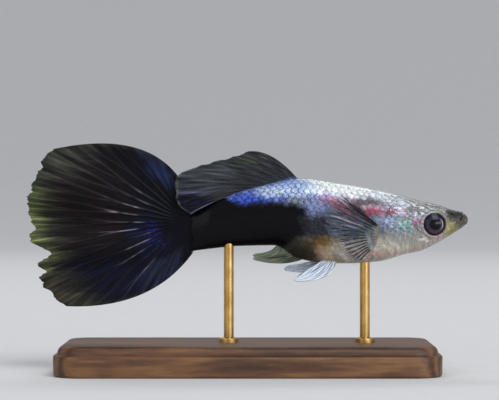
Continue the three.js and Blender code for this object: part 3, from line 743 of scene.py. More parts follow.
def scale_coat():
    """Every scale bent onto the body. OFBake puts each one as a small patch at its root on the unrolled body."""
    shape = scale_shape()
    long, wide, high, near = shape.T[:, None, :]
    behind, around = scale_behind, scale_around
    ring_length = 2 * np.pi * np.sqrt((half_width(behind) ** 2 + ((back(behind) - belly(behind)) / 2) ** 2) / 2)
    slim = np.clip(ring_length / SCALE_ROWS / ROW_GAP, 0.5, 1.15)
    here = flesh(behind, around)
    above = here[:, 2] - SNOUT_Z
    sideways = flesh(behind, around + 0.01) - flesh(behind, around - 0.01)
    turn_per_mm = 0.02 / np.maximum(np.linalg.norm(sideways, axis=-1), 1e-6)
    b = behind[:, None] + long * SCALE_LONG * (0.75 + 0.25 * slim[:, None])
    a = around[:, None] + wide * (SCALE_WIDE * slim * turn_per_mm)[:, None]
    b = np.minimum(b, FLESH_END - 0.3)
    points = flesh(b, a) + flesh_normal(b, a) * high[..., None]
    quads, tris = tube_faces(len(SCALE_RINGS) + 1, SCALE_SPOKES)
    step = (np.arange(len(behind)) * len(shape))[:, None, None]
    quads = (quads[None, :, ::-1] + step).reshape(-1, 4)
    tris = (tris[None, :, ::-1] + step).reshape(-1, 3)
    piece = make_piece("scale_coat", points.reshape(-1, 3), quads, tris, SCALES)
    near = np.broadcast_to(near, b.shape)
    draw = np.random.default_rng(11)
    give_colour(piece, "markings", scale_colours(draw, behind, above, here[:, 1], b, points, long, near))
    give_value(piece, "rim", near * GROWTH_TURN)
    place = [behind[:, None] / CHART_LENGTH + long * CHART_SCALE, around[:, None] / (2 * np.pi) + wide * CHART_SCALE]
    corner = np.empty(len(piece.data.loops), np.int32)
    piece.data.loops.foreach_get("vertex_index", corner)
    flat = np.stack(place, axis=-1).reshape(-1, 2)[corner]
    piece.data.uv_layers.new(name="OFBake").data.foreach_set("uv", flat.astype(np.float32).ravel())


scale_coat()

# %% [markdown]
# A guppy's eye is a shallow dome nearly flush with the head. Its rings of colour, from the black pupil over a
# thin silver ring to the dark purple iris, depend only on the distance from its middle, so they are worked out
# from the radius. A clear coat with almost no roughness stands for the wet cornea.

# %% Cornea
def mottled(tree, place, colour, scale, detail, **span):
    """The colour multiplied by a noise, whose range span maps, and the noise itself for a bump."""
    noise = add_node(tree, "TexNoise", Vector=place, Scale=scale, Detail=detail)
    shade = add_node(tree, "MapRange", Value=noise, **span)
    return add_node(tree, "Mix", MULTIPLY, in0=1.0, in6=colour, in7=shade).outputs[2], noise


def eye_gloss():
    """Glass-like cornea, wet with water of IOR 1.33, over an iris with flecks of 0.14 mm."""
    material, tree, place = new_material("cornea_over_iris")
    colour = add_node(tree, "Attribute", {"attribute_name": "markings"})
    tone, _ = mottled(tree, place, colour, 7000.0, 2.0, To_Min=0.6, To_Max=1.4)
    shader = add_node(
        tree, "BsdfPrincipled", Base_Color=tone, Metallic=colour.outputs["Alpha"], Roughness=0.35, IOR=TISSUE_IOR,
        Specular_IOR_Level=0.1, Coat_Weight=0.5, Coat_Roughness=0.03, Coat_IOR=1.33,
    )
    add_node(tree, "OutputMaterial", Surface=shader)
    return material


EYE_GLOSS = eye_gloss()
print("eyes are", EYE_GLOSS.name)

# %% Eyes
EYE_TURN = np.radians(8)
EYE_RISE = 0.34
PUPIL = 0.55


def flank(behind, above):
    """How far out the flank stands at a place: w * (1 - q^n)^(1/n), where q is the share of the reach."""
    middle, reach, square = section(behind, above > middle_at(behind))
    share = np.clip(np.abs(above - middle) / reach, 0, 1)
    return half_width(behind) * (1 - share**square) ** (1 / square)


def eye(side, name):
    """A dome turned about the line of sight: its height falls with the square of the radius, to a hidden back."""
    rise = [(r, EYE_RISE * (1 - (r / EYE_RADIUS) ** 2) - 0.05) for r in np.linspace(0.03, EYE_RADIUS, 36)]
    rings = np.array(rise + [(EYE_RADIUS, -0.12), (0.98, -0.3), (0.6, -0.5), (0.1, -0.56)])
    turn = np.linspace(0, 2 * np.pi, 64, endpoint=False)
    r, h = rings[:, :1], rings[:, 1:]
    across = np.stack([r * np.cos(turn), h + 0 * turn, r * np.sin(turn)], axis=-1)
    tips = np.array([[0, EYE_RISE - 0.05, 0], [0, -0.56, 0]])
    local = np.concatenate([across.reshape(-1, 3), tips])
    c, s = np.cos(EYE_TURN), np.sin(EYE_TURN)
    turned = np.stack([local[:, 0] * c + local[:, 1] * s, local[:, 1] * c - local[:, 0] * s, local[:, 2]], axis=-1)
    middle = at(EYE_BEHIND, EYE_ABOVE)
    points = turned + [middle[0], flank(EYE_BEHIND, EYE_ABOVE) - 0.03, middle[1]]
    points[:, 1] *= side
    quads, tris = tube_faces(len(rings), len(turn))
    if side > 0:
        quads, tris = quads[:, ::-1], tris[:, ::-1]
    piece = make_piece("eyeball_" + name, points, quads, tris, EYE_GLOSS, ("eye_" + name,))
    x, z, radius = local[:, 0], local[:, 2], np.hypot(local[:, 0], local[:, 2])
    angle = np.arctan2(z, x)
    spokes = 0.5 + 0.5 * np.sin(angle * 37 + 5 * np.sin(angle * 5)) * np.sin(angle * 61)
    # Painted highlight: the pale ring at 0.78 of the radius is faint all round and brightest towards the front, at
    # mid height.
    lit = 0.22 + 0.78 * smooth(x, 0.1, 0.6) * between(z, -0.65, -0.2, 0.3, 0.7)
    colours = layered(
        (len(local),), "#0f0c18", 0.1,
        (0.7 * smooth(z, -0.1, 0.7), "#101026", 0.1),
        (0.8 * smooth(z, -0.05, -0.75), "#2c1b27", 0.2),
        (0.4 * spokes * bell(radius - 0.78, 0.12) * smooth(z, 0.4, -0.3), "#7c5a70", 0.3),
        (0.3 * bell(radius - 0.61, 0.035), "#a8a4b6", 0.4),
        (lit * bell(radius - 0.78, 0.05), "#c4c3d0", 0.5),
        (0.25 * bell(radius - 0.92, 0.04), "#3e3750", 0.3),
        (smooth(radius, 0.98, 1.05), "#0d0a10", 0.0),
        (smooth(radius, PUPIL + 0.03, PUPIL - 0.03), "#020103", 0.0),
    )
    give_colour(piece, "markings", stored(colours))


eye(-1, "right")
eye(1, "left")

# %% [markdown]
# A fin is a clear skin stretched over bony rays. Each ray leaves the root as one ridge, forks on its way out,
# and is built of short joints. One function makes the sheet for every fin: it takes the fin's middle surface,
# adds half the thickness and the ridges on both faces, and closes the edge. Pigment and see-through are stored
# as one colour with its opacity, from another small function for each fin.

# %% Closed sheets
def sheet_faces(rows, columns):
    """Faces of a closed sheet: a front grid, the same grid behind it turned over, and strips round the edge."""
    def number(r, k, side):
        return side * rows * columns + r * columns + k

    def strip(r, k, r_next, k_next):
        corners = [number(r, k, 0), number(r, k, 1), number(r_next, k_next, 1), number(r_next, k_next, 0)]
        return np.stack(corners, axis=-1)

    r, k = np.meshgrid(np.arange(rows - 1), np.arange(columns - 1), indexing="ij")
    front = np.stack([number(r, k, 0), number(r, k + 1, 0), number(r + 1, k + 1, 0), number(r + 1, k, 0)], -1)
    behind = np.stack([number(r, k, 1), number(r + 1, k, 1), number(r + 1, k + 1, 1), number(r, k + 1, 1)], -1)
    k, r = np.arange(columns - 1), np.arange(rows - 1)
    edges = [
        strip(0, k, 0, k + 1), strip(rows - 1, k, rows - 1, k + 1)[:, ::-1],
        strip(r, 0, r + 1, 0)[:, ::-1], strip(r, columns - 1, r + 1, columns - 1),
    ]
    return np.concatenate([front.reshape(-1, 4), behind.reshape(-1, 4), *edges])


print("a closed sheet of 3 by 3 points has", len(sheet_faces(3, 3)), "quads")

# %% Fins from rays
RAY_JOINT, JOINT_DEPTH = 0.42, 0.35
THINNEST = 0.006


def bent_ray(root, bend, edge, reach):
    """A ray in side view: it starts at root, heads for bend and ends at edge, as s^2 root + 2st bend + t^2 edge."""
    s, t = (1 - reach)[..., None], reach[..., None]
    return s * s * root + 2 * s * t * bend + t * t * edge


def in_space(place, out):
    """Side-view place and distance out to three coordinates."""
    return np.stack([place[..., 0], out + 0 * place[..., 0], place[..., 1]], axis=-1)


def along_sheet(share, reach, behind, above):
    """Rays that follow the sheet itself, so the place in the side view isn't used."""
    return share, reach


def ray_profile(share, reach, rays, forks, wide, pitch):
    """How near a point is to a ray, 1 on its crest: bells of the distance to it, folded at each fork."""
    off = (share * rays) % 1.0 - 0.5
    spread = 0.25
    for fork in forks:
        off = np.abs(off) - spread * smooth(reach, fork, fork + 0.3)
        spread /= 2
    return bell(off * pitch, wide * (1 - 0.45 * reach))


def fin(
    name, sheet, rays, columns, rows, forks, thick, ridge, wide, pigment, material, replaces,
    fleshy=0.0, course=along_sheet,
):
    """A closed fin. The middle surface is sheet(share, reach). thick gives the root's and the edge's thickness, and
    fleshy what flesh adds to each face at the root, as a bell of the reach. course tells which ray a point is
    on, and pigment gives its colour and opacity."""
    share, reach = np.meshgrid(np.linspace(0, 1, rays * columns + 1), np.linspace(0, 1, rows + 1), indexing="xy")
    middle = sheet(share, reach)
    down = np.gradient(middle, axis=0)
    across = np.gradient(middle, axis=1)
    out = np.cross(across, down)
    out /= np.maximum(np.linalg.norm(out, axis=-1, keepdims=True), 1e-9)
    behind, above = SNOUT_X - middle[..., 0], middle[..., 2] - SNOUT_Z
    ray, far = course(share, reach, behind, above)
    pitch = np.linalg.norm(across, axis=-1) / np.maximum(np.abs(np.gradient(ray, axis=1)), 1e-6) / rays
    length = np.cumsum(np.linalg.norm(down, axis=-1), axis=0)
    crest = ray_profile(ray, far, rays, forks, wide, pitch)
    joint = 1 - JOINT_DEPTH * smooth(np.cos(2 * np.pi * length / RAY_JOINT), 0.6, 1.0) * smooth(reach, 0.15, 0.3)
    membrane = mix(thick[0], thick[1], reach**0.7) / 2
    half = membrane + ridge * crest * joint * (1 - 0.75 * reach) * mix(0.08, 1, smooth(reach, 0.05, 0.28))
    swell = fleshy * bell(reach, 0.07) * (1 - np.abs(1 - 2 * share) ** 3)
    half = half * (0.25 + 0.75 * smooth(1 - reach, 0, 0.03)) + THINNEST + swell
    thick_by = out * half[..., None]
    points = np.concatenate([(middle + thick_by).reshape(-1, 3), (middle - thick_by).reshape(-1, 3)])
    quads = sheet_faces(rows + 1, rays * columns + 1)
    piece = make_piece(name, points, quads, np.zeros((0, 3), int), material, replaces)
    colours = pigment(behind, above, share, reach, crest)
    colours[..., :3] *= (1 + 0.3 * ripple(ray * rays * 3.1, far * 3, 1.0, 15))[..., None]
    colours = np.clip(colours, 0, 1)
    give_colour(piece, "pigment", np.tile(stored(colours).reshape(-1, 4), (2, 1)))


print("a fin ray has a joint every", RAY_JOINT, "mm")

# %% Fin skin
def fin_membrane(name, rough, coat):
    """Wet fin skin: pigment from the piece, opacity from its fourth number, and a grain of 0.3 mm."""
    material, tree, place = new_material(name)
    colour = add_node(tree, "Attribute", {"attribute_name": "pigment"})
    tone, grain = mottled(tree, place, colour, 3200.0, 3.0, To_Min=0.7, To_Max=1.3)
    bump = add_node(tree, "Bump", Strength=0.2, Distance=0.00003, Height=grain)
    shader = add_node(
        tree, "BsdfPrincipled", Base_Color=tone, Roughness=rough, IOR=TISSUE_IOR, Specular_IOR_Level=0.12,
        Alpha=colour.outputs["Alpha"], Normal=bump, Coat_Weight=coat, Coat_Roughness=0.15, Coat_IOR=SLIME_IOR,
    )
    add_node(tree, "OutputMaterial", Surface=shader)
    return material


DARK_FIN = fin_membrane("dark_fin_membrane", 0.42, 0.04)
CLEAR_FIN = fin_membrane("clear_fin_membrane", 0.4, 0.15)
print("fin skins:", DARK_FIN.name, "and", CLEAR_FIN.name)

# %% [markdown]
# The tail fin is a broad fan. Its outer rays leave the flesh steeply and bend back, and its rear edge is torn in
# notches. It is blue-black at the root with pinkish streaks on its rays, partly their own colour and partly
# painted highlight, red-brown further out, and olive along the edge.

# %% The tail fin's surface
FAN_TOP, FAN_LOW = 7.0, -8.7
fan_edge = through([
    [FAN_LOW, 40.1], [-8.1, 41.1], [-6.2, 42.8], [-4.8, 43.2], [-1.7, 43.9], [1.9, 44.05], [4.4, 43.2],
    [5.9, 42.6], [FAN_TOP, 41.6],
])
# Depth of each notch in the edge, its height on the fin and its half width
TEARS = [
    (1.85, -3.4, 0.75), (0.8, -5.25, 0.36), (0.6, -0.85, 0.6), (0.35, 2.75, 0.24), (0.3, 5.1, 0.3), (0.3, -7.4, 0.3),
]


def tail_sheet(share, reach):
    """Middle surface of the fan: bent rays from root to torn edge, with a wave of folds across it."""
    root = at(TAIL_ROOT - 0.5, mix(0.75, -3.1, share))
    above = mix(FAN_TOP, FAN_LOW, share)
    torn = folds(above, *TEARS)
    frayed = ripples(share * 60, 0, (0.1, 3.1, 21), (0.07, 1.1, 22))
    edge = at(fan_edge(above) - torn - 0.08 + frayed, above)
    lean = 1 - 2 * share
    turn = np.where(lean > 0, np.radians(78), -np.radians(52)) * np.abs(lean) ** 1.45 - 0.06
    hold = np.where(lean > 0, mix(6.3, 9.1, lean), mix(6.3, 7.3, -lean))
    bend = root + np.stack([-np.cos(turn), np.sin(turn)], axis=-1) * hold[..., None]
    wave = 0.38 * smooth(reach, 0.1, 1) * np.sin(share * 5.2 * np.pi + 1.1 * reach)
    return in_space(bent_ray(root, bend, edge, reach), wave)


print(f"the fan ends {fan_edge(0.0):.1f} mm behind the snout")

# %% Tail fin
FOCUS_BEHIND, FOCUS_ABOVE = 28.0, -0.3
TAIL_RAYS = 19
HALF_SPREAD = np.radians(76)
RAY_REACH = 15.8
TAIL_PATCHES = [
    ("red-brown middle", "#150d10", (38.0, 1.0), (4.4, 5.5), 0, 0.5, 0.9, 0.97),
    ("blue lower lobe", "#090c22", (34.6, -6.2), (5.8, 2.0), 14, 0.5, 0.9, 0.97),
    ("blue upper root", "#1c2548", (30.7, 4.7), (2.6, 0.8), 44, 0.6, 0.85, 0.97),
    ("blue lower root", "#20263a", (30.2, -4.9), (2.8, 0.9), -40, 0.6, 0.7, 0.97),
]


def tail_course(share, reach, behind, above):
    """The tail's rays run out from one point inside the stalk, so the ray place comes from the angle about it, and
    the reach from the distance in parts of RAY_REACH."""
    u, v = np.maximum(behind - FOCUS_BEHIND, 0.02), above - FOCUS_ABOVE
    angle = np.arctan2(v, u)
    return 0.5 - angle / (2 * HALF_SPREAD), np.hypot(u, v) / RAY_REACH


def tail_pigment(behind, above, share, reach, crest):
    """Blue-black at the root with blue flecks, pinkish streaks on the rays' crests that are partly painted
    highlight, and an edge of olive.
    """
    wander = ripples(behind, above, (0.5, 3.0, 31), (0.2, 1.0, 32))
    b, a = behind + wander, above + 0.5 * wander
    ray, far = tail_course(share, reach, behind, above)
    speck = smooth(ripples(ray * 60, far * 40, (1, 3.0, 33), (1, 1.2, 34)), 0.1, 0.9)
    of_ray = ripple(np.floor(ray * TAIL_RAYS) * 3.7, 0, 5.0, 35)
    start = 0.25 + 0.04 * of_ray
    streak = between(far, start, start + 0.05, 0.36, 0.58 + 0.2 * of_ray)
    streak = streak * between(ray, 0.25, 0.3, 0.82, 0.88) * smooth(of_ray, -1.4, -0.3)
    streak = streak * (0.65 + 0.35 * ripple(ray * 60, far * 60, 4.0, 38))
    inward = ripples(above, 0, (0.03, 1.3, 36), (0.025, 0.4, 37))
    rear = smooth(reach + inward, 0.76, 0.97) * between(share, 0.1, 0.34, 0.68, 0.95)
    green = smooth(reach + 0.5 * inward, 0.89, 0.995) * between(share, 0.12, 0.35, 0.7, 1)
    corner = smooth(reach + inward, 0.6, 0.95) * smooth(share, 0.3, 0.12)
    low = smooth(reach + inward, 0.66, 0.97) * smooth(share, 0.7, 0.88)
    rim = np.maximum(smooth(share, 0.03, 0.0), smooth(share, 0.975, 1.0)) * smooth(reach, 0.15, 0.6)
    colours = layered(
        share.shape, "#05060e", 0.985,
        *patch_layers(b, a, TAIL_PATCHES),
        (speck * patch(b, a, (31.4, -1.5), (0.9, 1.1), 0, 0.6), "#1d2a68", 0.98),
        (0.5 * patch(b, a, (32.0, -1.8), (1.6, 2.4), 0, 0.7), "#10153a", 0.98),
        # Pale streaks and lighter crests along the rays: partly the rays' own colour, partly painted highlight.
        (0.9 * smooth(crest, 0.4, 0.9) * streak, "#7d7681", 0.99),
        (0.3 * crest * smooth(far, 0.3, 0.55), "#2b2a30", 0.99),
        (0.85 * rear, "#454a33", 0.96),
        (0.9 * green, "#757e50", 0.95),
        (0.85 * corner, "#4a4c42", 0.96),
        (0.85 * low, "#474336", 0.96),
        (0.7 * rim, "#34372b", 0.95),
    )
    colours[..., :3] *= (1 - 0.35 * (1 - crest) * smooth(far, 0.3, 0.9))[..., None]
    colours[..., 3] *= smooth(reach, 0.002, 0.045)
    return colours


fin(
    "tail_fan", tail_sheet, rays=TAIL_RAYS, columns=17, rows=130, forks=(0.4, 0.66), thick=(0.34, 0.1), ridge=0.1,
    wide=0.12, pigment=tail_pigment, material=DARK_FIN, replaces=("tail_fin",), fleshy=0.24,
    course=tail_course,
)

# %% [markdown]
# The back fin rises from a short root and trails far back. It hangs over to the right of the tail, so that it
# lies in front of the fan as the camera sees it. It is smoke-grey and see-through, paler along its edge.

# %% Back fin
BACK_EDGE = np.array([[22.0, 6.75], [23.4, 6.2], [26.2, 5.45], [28.9, 4.4], [29.15, 2.9], [28.9, 1.4], [27.6, 0.45]])


def catmull(points, share):
    """Catmull-Rom curve through points: each cubic piece leaves a point along the line between its neighbours."""
    place = np.clip(share, 0, 1) * (len(points) - 1)
    i = np.minimum(place.astype(int), len(points) - 2)
    t = (place - i)[..., None]
    p0, p1 = points[np.maximum(i - 1, 0)], points[i]
    p2, p3 = points[i + 1], points[np.minimum(i + 2, len(points) - 1)]
    v0, v1 = (p2 - p0) / 2, (p3 - p1) / 2
    return (2 * p1 - 2 * p2 + v0 + v1) * t**3 + (-3 * p1 + 3 * p2 - 2 * v0 - v1) * t**2 + v0 * t + p1


def back_sheet(share, reach):
    """Middle surface of the back fin: bent rays that lean to the right as they pass the tail stalk."""
    behind = mix(16.9, 21.6, share)
    root = at(behind, back(behind) - 0.12)
    ends = catmull(BACK_EDGE, share)
    frayed = ripples(share * 40, 0, (0.035, 2.3, 41), (0.02, 0.9, 42))
    edge = at(ends[..., 0] + frayed, ends[..., 1] + frayed)
    bend = at(mix(19.6, 25.2, share), mix(7.1, 2.05, share**0.75))
    place = bent_ray(root, bend, edge, reach)
    here = SNOUT_X - place[..., 0]
    flop = -1.05 * smooth(here, 22.5, 27.2) * smooth(share, 0.05, 0.5)
    return in_space(place, flop + 0.05 * np.sin(share * 7 * np.pi) * smooth(reach, 0.2, 1))


def back_pigment(behind, above, share, reach, crest):
    """Smoke-grey with dark rays, a lilac stripe low down, a blue-black lobe and a pale edge."""
    wander = 0.3 * ripple(behind, above, 1.6, 43)
    b, a = behind + wander, above + wander
    violet = bell(above - 2.72 + 0.05 * (behind - 27) + 0.1 * wander, 0.17) * smooth(behind, 23.6, 26.6)
    beside = smooth(np.abs(crest - 0.5), 0.3, 0.1) * smooth(reach, 0.3, 0.6)
    return layered(
        share.shape, "#24272c", 0.88,
        (0.8 * patch(b, a, (26.8, 4.0), (3.0, 1.0), -12, 0.6), "#394046", 0.88),
        (0.7 * patch(b, a, (21.5, 5.9), (2.6, 0.8), -8, 0.6), "#3a3e36", 0.92),
        (0.75 * violet, "#5a5680", 0.95),
        (0.95 * patch(b, a, (27.6, 1.5), (2.4, 0.95), 0, 0.4), "#080a1c", 0.98),
        (0.8 * smooth(reach, 0.1, 0.02), "#54659c", 0.97),
        (0.45 * crest * smooth(reach, 0.1, 0.3), "#0d0e12", 0.96),
        (0.3 * beside, "#404447", 0.88),
        (0.8 * smooth(reach, 0.965, 0.995) * smooth(share, 0.0, 0.2), "#4c5049", 0.9),
        (0.9 * bell(share - 0.985, 0.012) * smooth(reach, 0.15, 0.4), "#5c5d7c", 0.95),
    )


fin(
    "back_fin_sheet", back_sheet, rays=9, columns=14, rows=90, forks=(0.4, 0.7), thick=(0.3, 0.09), ridge=0.08,
    wide=0.1, pigment=back_pigment, material=DARK_FIN, replaces=("back_fin",),
)

# %% [markdown]
# A male's anal fin is a narrow paddle that points back. A blunt notch in its tip and one dark streak along its
# middle follow the photo.

# %% Anal fin
def anal_sheet(share, reach):
    """Middle surface of the anal fin: bent rays to a blunt tip."""
    behind = mix(16.35, 19.1, share)
    root = at(behind, belly(behind) + 0.12)
    tip = 0.1 * np.sin(np.pi * share) + 0.22 * np.abs(np.sin(2 * np.pi * share)) ** 0.8
    edge = at(21.2 + tip, mix(-4.15, -3.45, share))
    bend = at(mix(18.4, 19.5, share), mix(-4.85, -3.35, share))
    return in_space(bent_ray(root, bend, edge, reach), 0)


def anal_pigment(behind, above, share, reach, crest):
    """Grey-green, with one dark streak and dark rays."""
    return layered(
        share.shape, "#667060", 0.93,
        (0.7 * patch(behind, above, (17.4, -4.2), (1.3, 0.5), 0, 0.6), "#2e3226", 0.97),
        (0.8 * bell(share - 0.5, 0.08) * between(reach, 0.1, 0.3, 0.6, 0.9), "#1b1d16", 0.98),
        (0.35 * crest, "#434a3b", 0.97),
        (0.7 * smooth(reach, 0.85, 1.0), "#848c72", 0.85),
    )


fin(
    "anal_fin_sheet", anal_sheet, rays=7, columns=12, rows=50, forks=(0.6,), thick=(0.3, 0.1), ridge=0.07, wide=0.08,
    pigment=anal_pigment, material=CLEAR_FIN, replaces=("anal_fin",),
)

# %% [markdown]
# The pelvic fins are two pointed blades, and the right one hangs lower. The breast fins are clear round fans with
# dark rays, and stand off the flanks behind the gill covers. Each pair is made by one function of the side.

# %% Pelvic fins and breast fins
def underside(behind, out):
    """How high the underside is at a distance out from the middle, by the flank's formula turned round."""
    middle, reach, square = section(behind, False)
    share = np.clip(np.abs(out) / half_width(behind), 0, 1)
    return middle - reach * (1 - share**square) ** (1 / square)


def pelvic_sheet(side):
    """Middle surface of a pelvic fin: a pointed blade that spreads outwards. The right one hangs lower."""
    hangs = side < 0

    def sheet(share, reach):
        behind = mix(13.1, 14.5, share)
        root = at(behind, underside(behind, 0.62) + 0.12)
        tip = at(17.5, -6.15) if hangs else at(18.4, -5.2)
        blunt = 0.22 * np.sin(np.pi * share) ** 0.7
        edge = tip + np.stack([0.2 + 0.2 * share - blunt, 0.42 * share], axis=-1)
        knee = (13.7, 15.9, -6.5, -4.95) if hangs else (14.4, 16.6, -5.85, -4.4)
        bend = at(mix(knee[0], knee[1], share), mix(knee[2], knee[3], share))
        return in_space(bent_ray(root, bend, edge, reach), side * (0.62 + 0.75 * reach**1.2))

    return sheet


def pelvic_pigment(behind, above, share, reach, crest):
    """Bluish white with dark streaks between the rays."""
    return layered(
        share.shape, "#bcc8da", 0.93,
        (0.5 * smooth(reach, 0.2, 0.0), "#8a937c", 0.97),
        (0.6 * bell(share - 0.72, 0.06) * between(reach, 0.05, 0.2, 0.5, 0.75), "#454e6c", 0.97),
        (0.25 * bell(share - 0.35, 0.08) * between(reach, 0.1, 0.3, 0.5, 0.8), "#66728c", 0.97),
        (0.3 * crest, "#d2dfe8", 0.97),
    )


def breast_sheet(side):
    """Middle surface of a breast fin: rays that fan out from a short root and flare away from the flank."""
    long = through([[0, 5.5], [0.12, 5.85], [0.3, 5.5], [0.5, 4.8], [0.75, 4.0], [1, 2.85]])

    def sheet(share, reach):
        behind, above = mix(8.95, 9.35, share), mix(-0.75, -2.5, share)
        turn = mix(np.radians(41), np.radians(-47), share)
        frayed = 0.05 * ripple(share * 30, 0, 2.1, 51)
        length = (long(share) + frayed) * reach
        out = flank(behind, above) - 0.04 + 0.55 * smooth(reach, 0, 0.2) + 0.28 * length
        return in_space(at(behind + length * np.cos(turn), above + length * np.sin(turn)), side * out)

    return sheet


def breast_pigment(behind, above, share, reach, crest):
    """Clear, with dark rays that are heaviest along the upper edge, a pale crescent over the root, and two thin
    pale lines along rays in the upper part of the fan that are painted highlights.
    """
    start = mix(0.04, 0.2, smooth(share, 0.05, 0.45))
    fade = mix(1.0, 0.93, smooth(share, 0.2, 0.6))
    shown = between(reach, start, start + 0.12, fade - 0.25, fade)
    return layered(
        share.shape, "#7d8896", 0.05,
        (0.6 * bell(reach - 0.2, 0.1) * smooth(share, 0.2, 0.4), "#727b86", 0.28),
        (0.9 * smooth(reach, 0.15, 0.05), "#7a7668", 0.85),
        (0.97 * smooth(crest, 0.3, 0.7) * shown, "#07080f", 0.97),
        (0.3 * smooth(crest, 0.1, 0.4) * shown, "#12141f", 0.5),
        (0.8 * smooth(share, 0.13, 0.07) * between(reach, 0.03, 0.1, 0.5, 0.8), "#0f070c", 0.95),
        # Painted highlights: two thin pinkish and lilac lines along rays in the upper part of the fan.
        (0.8 * bell(share - 0.255, 0.01) * between(reach, 0.25, 0.35, 0.7, 0.95), "#d3b4c0", 0.9),
        (0.7 * bell(share - 0.325, 0.01) * between(reach, 0.3, 0.4, 0.7, 0.9), "#a9a7c0", 0.9),
    )


for side, side_name in ((-1, "right"), (1, "left")):
    fin(
        "pelvic_fin_sheet_" + side_name, pelvic_sheet(side), rays=6, columns=10, rows=50, forks=(0.6,),
        thick=(0.28, 0.09), ridge=0.06, wide=0.08, pigment=pelvic_pigment, material=CLEAR_FIN,
        replaces=("pelvic_fin_" + side_name,),
    )
    fin(
        "breast_fin_sheet_" + side_name, breast_sheet(side), rays=14, columns=12, rows=60, forks=(0.55,),
        thick=(0.16, 0.06), ridge=0.05, wide=0.085, pigment=breast_pigment, material=CLEAR_FIN,
        replaces=("breast_fin_" + side_name,),
    )

# %% [markdown]
# The base is cut from a walnut board and waxed, and the rods are drawn brass with a satin polish. Walnut has its
# growth bands and pores along the board, so one stretched place feeds both. Brass keeps fine lines from the drawing
# along the rod, which only the roughness and a slight bump show.

# %% Stand finishes
def waxed_walnut():
    """Walnut with its grain along X: dark growth bands 1.2 mm apart, since a wave texture's bands lie 0.314 / Scale
    metres apart, wavered by noise, and pores 0.24 mm wide. The wax gives a soft, low gloss."""
    material, tree, place = new_material("waxed_walnut")
    along = add_node(tree, "Mapping", in0=place, Scale=(0.12, 1.0, 1.0))
    bands = add_node(
        tree, "TexWave", {"bands_direction": "Y"}, Vector=along, Scale=260.0, Distortion=7.0, Detail=3.0,
        Detail_Scale=1.6,
    ).outputs["Fac"]
    colour = add_node(
        tree, "ValToRGB", {"stops": [(0.0, "#452c1b"), (0.55, "#64422a"), (1.0, "#765234")]}, in0=bands,
    )
    tone, pores = mottled(tree, along, colour, 4200.0, 3.0, From_Min=0.3, From_Max=0.6, To_Min=0.65)
    bump = add_node(tree, "Bump", Strength=0.25, Distance=0.00005, Height=pores)
    rough = add_node(tree, "MapRange", Value=bands, To_Min=0.44, To_Max=0.58)
    shader = add_node(
        tree, "BsdfPrincipled", Base_Color=tone, Roughness=rough, IOR=1.5, Normal=bump, Specular_IOR_Level=0.35,
        Coat_Weight=0.1, Coat_Roughness=0.4,
    )
    add_node(tree, "OutputMaterial", Surface=shader)
    return material


def satin_brass():
    """Drawn brass: faint lines 0.1 mm wide along the rod, and an uneven tarnish in clouds of 1.4 mm."""
    material, tree, place = new_material("satin_brass")
    drawn = add_node(tree, "Mapping", in0=place, Scale=(1.0, 1.0, 0.03))
    lines = add_node(tree, "TexNoise", Vector=drawn, Scale=9000.0, Detail=2.0)
    cloud = add_node(tree, "TexNoise", Vector=place, Scale=700.0, Detail=2.0)
    colour = add_node(tree, "ValToRGB", {"stops": [(0.3, "#a8844a"), (0.7, "#c9a566")]}, in0=cloud)
    bump = add_node(tree, "Bump", Strength=0.15, Distance=0.00002, Height=lines)
    rough = add_node(tree, "MapRange", Value=lines, To_Min=0.22, To_Max=0.4)
    shader = add_node(tree, "BsdfPrincipled", Base_Color=colour, Metallic=1.0, Roughness=rough, Normal=bump)
    add_node(tree, "OutputMaterial", Surface=shader)
    return material


WALNUT, BRASS = waxed_walnut(), satin_brass()
print("stand finishes:", WALNUT.name, "and", BRASS.name)

# %% [markdown]
# A lathe or a moulding cutter gives a part one profile all the way round, and rings do the same here. The base's
# profile is carried round a rounded rectangle, so that its edge can have a bead, and each rod's is turned about its
# axis, with a collar at the foot. The rods end in the belly, so that the fish is seen to stand on them.

# %% Base and rods
OUTLINE_POINTS, ROD_POINTS = 96, 48
CORNER = 3.0
SINK = 0.45


def rounded_rectangle(inset, count):
    """Outline of the base, drawn in by inset: quarter circles at the corners, joined by straight lines."""
    half_x, half_y = BASE_HIGH[0] - inset, BASE_HIGH[1] - inset
    r = max(CORNER - inset, 0.6)
    turn = np.linspace(0, 2 * np.pi, count, endpoint=False) + np.pi / count
    quarter = np.floor(turn / (np.pi / 2)).astype(int)
    sign_x = np.where((quarter == 0) | (quarter == 3), 1, -1)
    sign_y = np.where(quarter < 2, 1, -1)
    return np.stack([sign_x * (half_x - r) + r * np.cos(turn), sign_y * (half_y - r) + r * np.sin(turn)], axis=-1)


def ringed(name, rings, low, high, material, node):
    """A piece of rings one above another, closed by a point below and one above, with its sharp edges kept."""
    quads, tris = tube_faces(len(rings), len(rings[0]))
    piece = make_piece(name, np.concatenate([*rings, [low, high]]), quads, tris, material, (node,))
    piece.data.set_sharp_from_angle(angle=np.radians(40))
    return piece


def base_board():
    """The base: (inset, height) pairs carried round the outline, closed above and below."""
    top = BASE_HIGH[2]
    arc = np.linspace(0, np.pi / 2, 7)
    profile = [(0.6, 0.0)] + [(0.02 + 0.3 * (1 - np.sin(a)), 0.3 * (1 - np.cos(a))) for a in arc]
    profile += [(0.0, 1.5), (0.0, top - 1.05), (0.06, top - 0.95), (0.3, top - 0.9), (0.42, top - 0.84)]
    profile += [(0.42 + 0.62 * (1 - np.cos(a)), top - 0.72 + 0.72 * np.sin(a)) for a in arc]
    profile += [(1.3, top), (2.2, top)]
    rings = [
        np.column_stack([rounded_rectangle(inset, OUTLINE_POINTS), np.full(OUTLINE_POINTS, height)])
        for inset, height in profile
    ]
    piece = ringed("walnut_base", rings, [0, 0, 0], [0, 0, top], WALNUT, "stand_base")


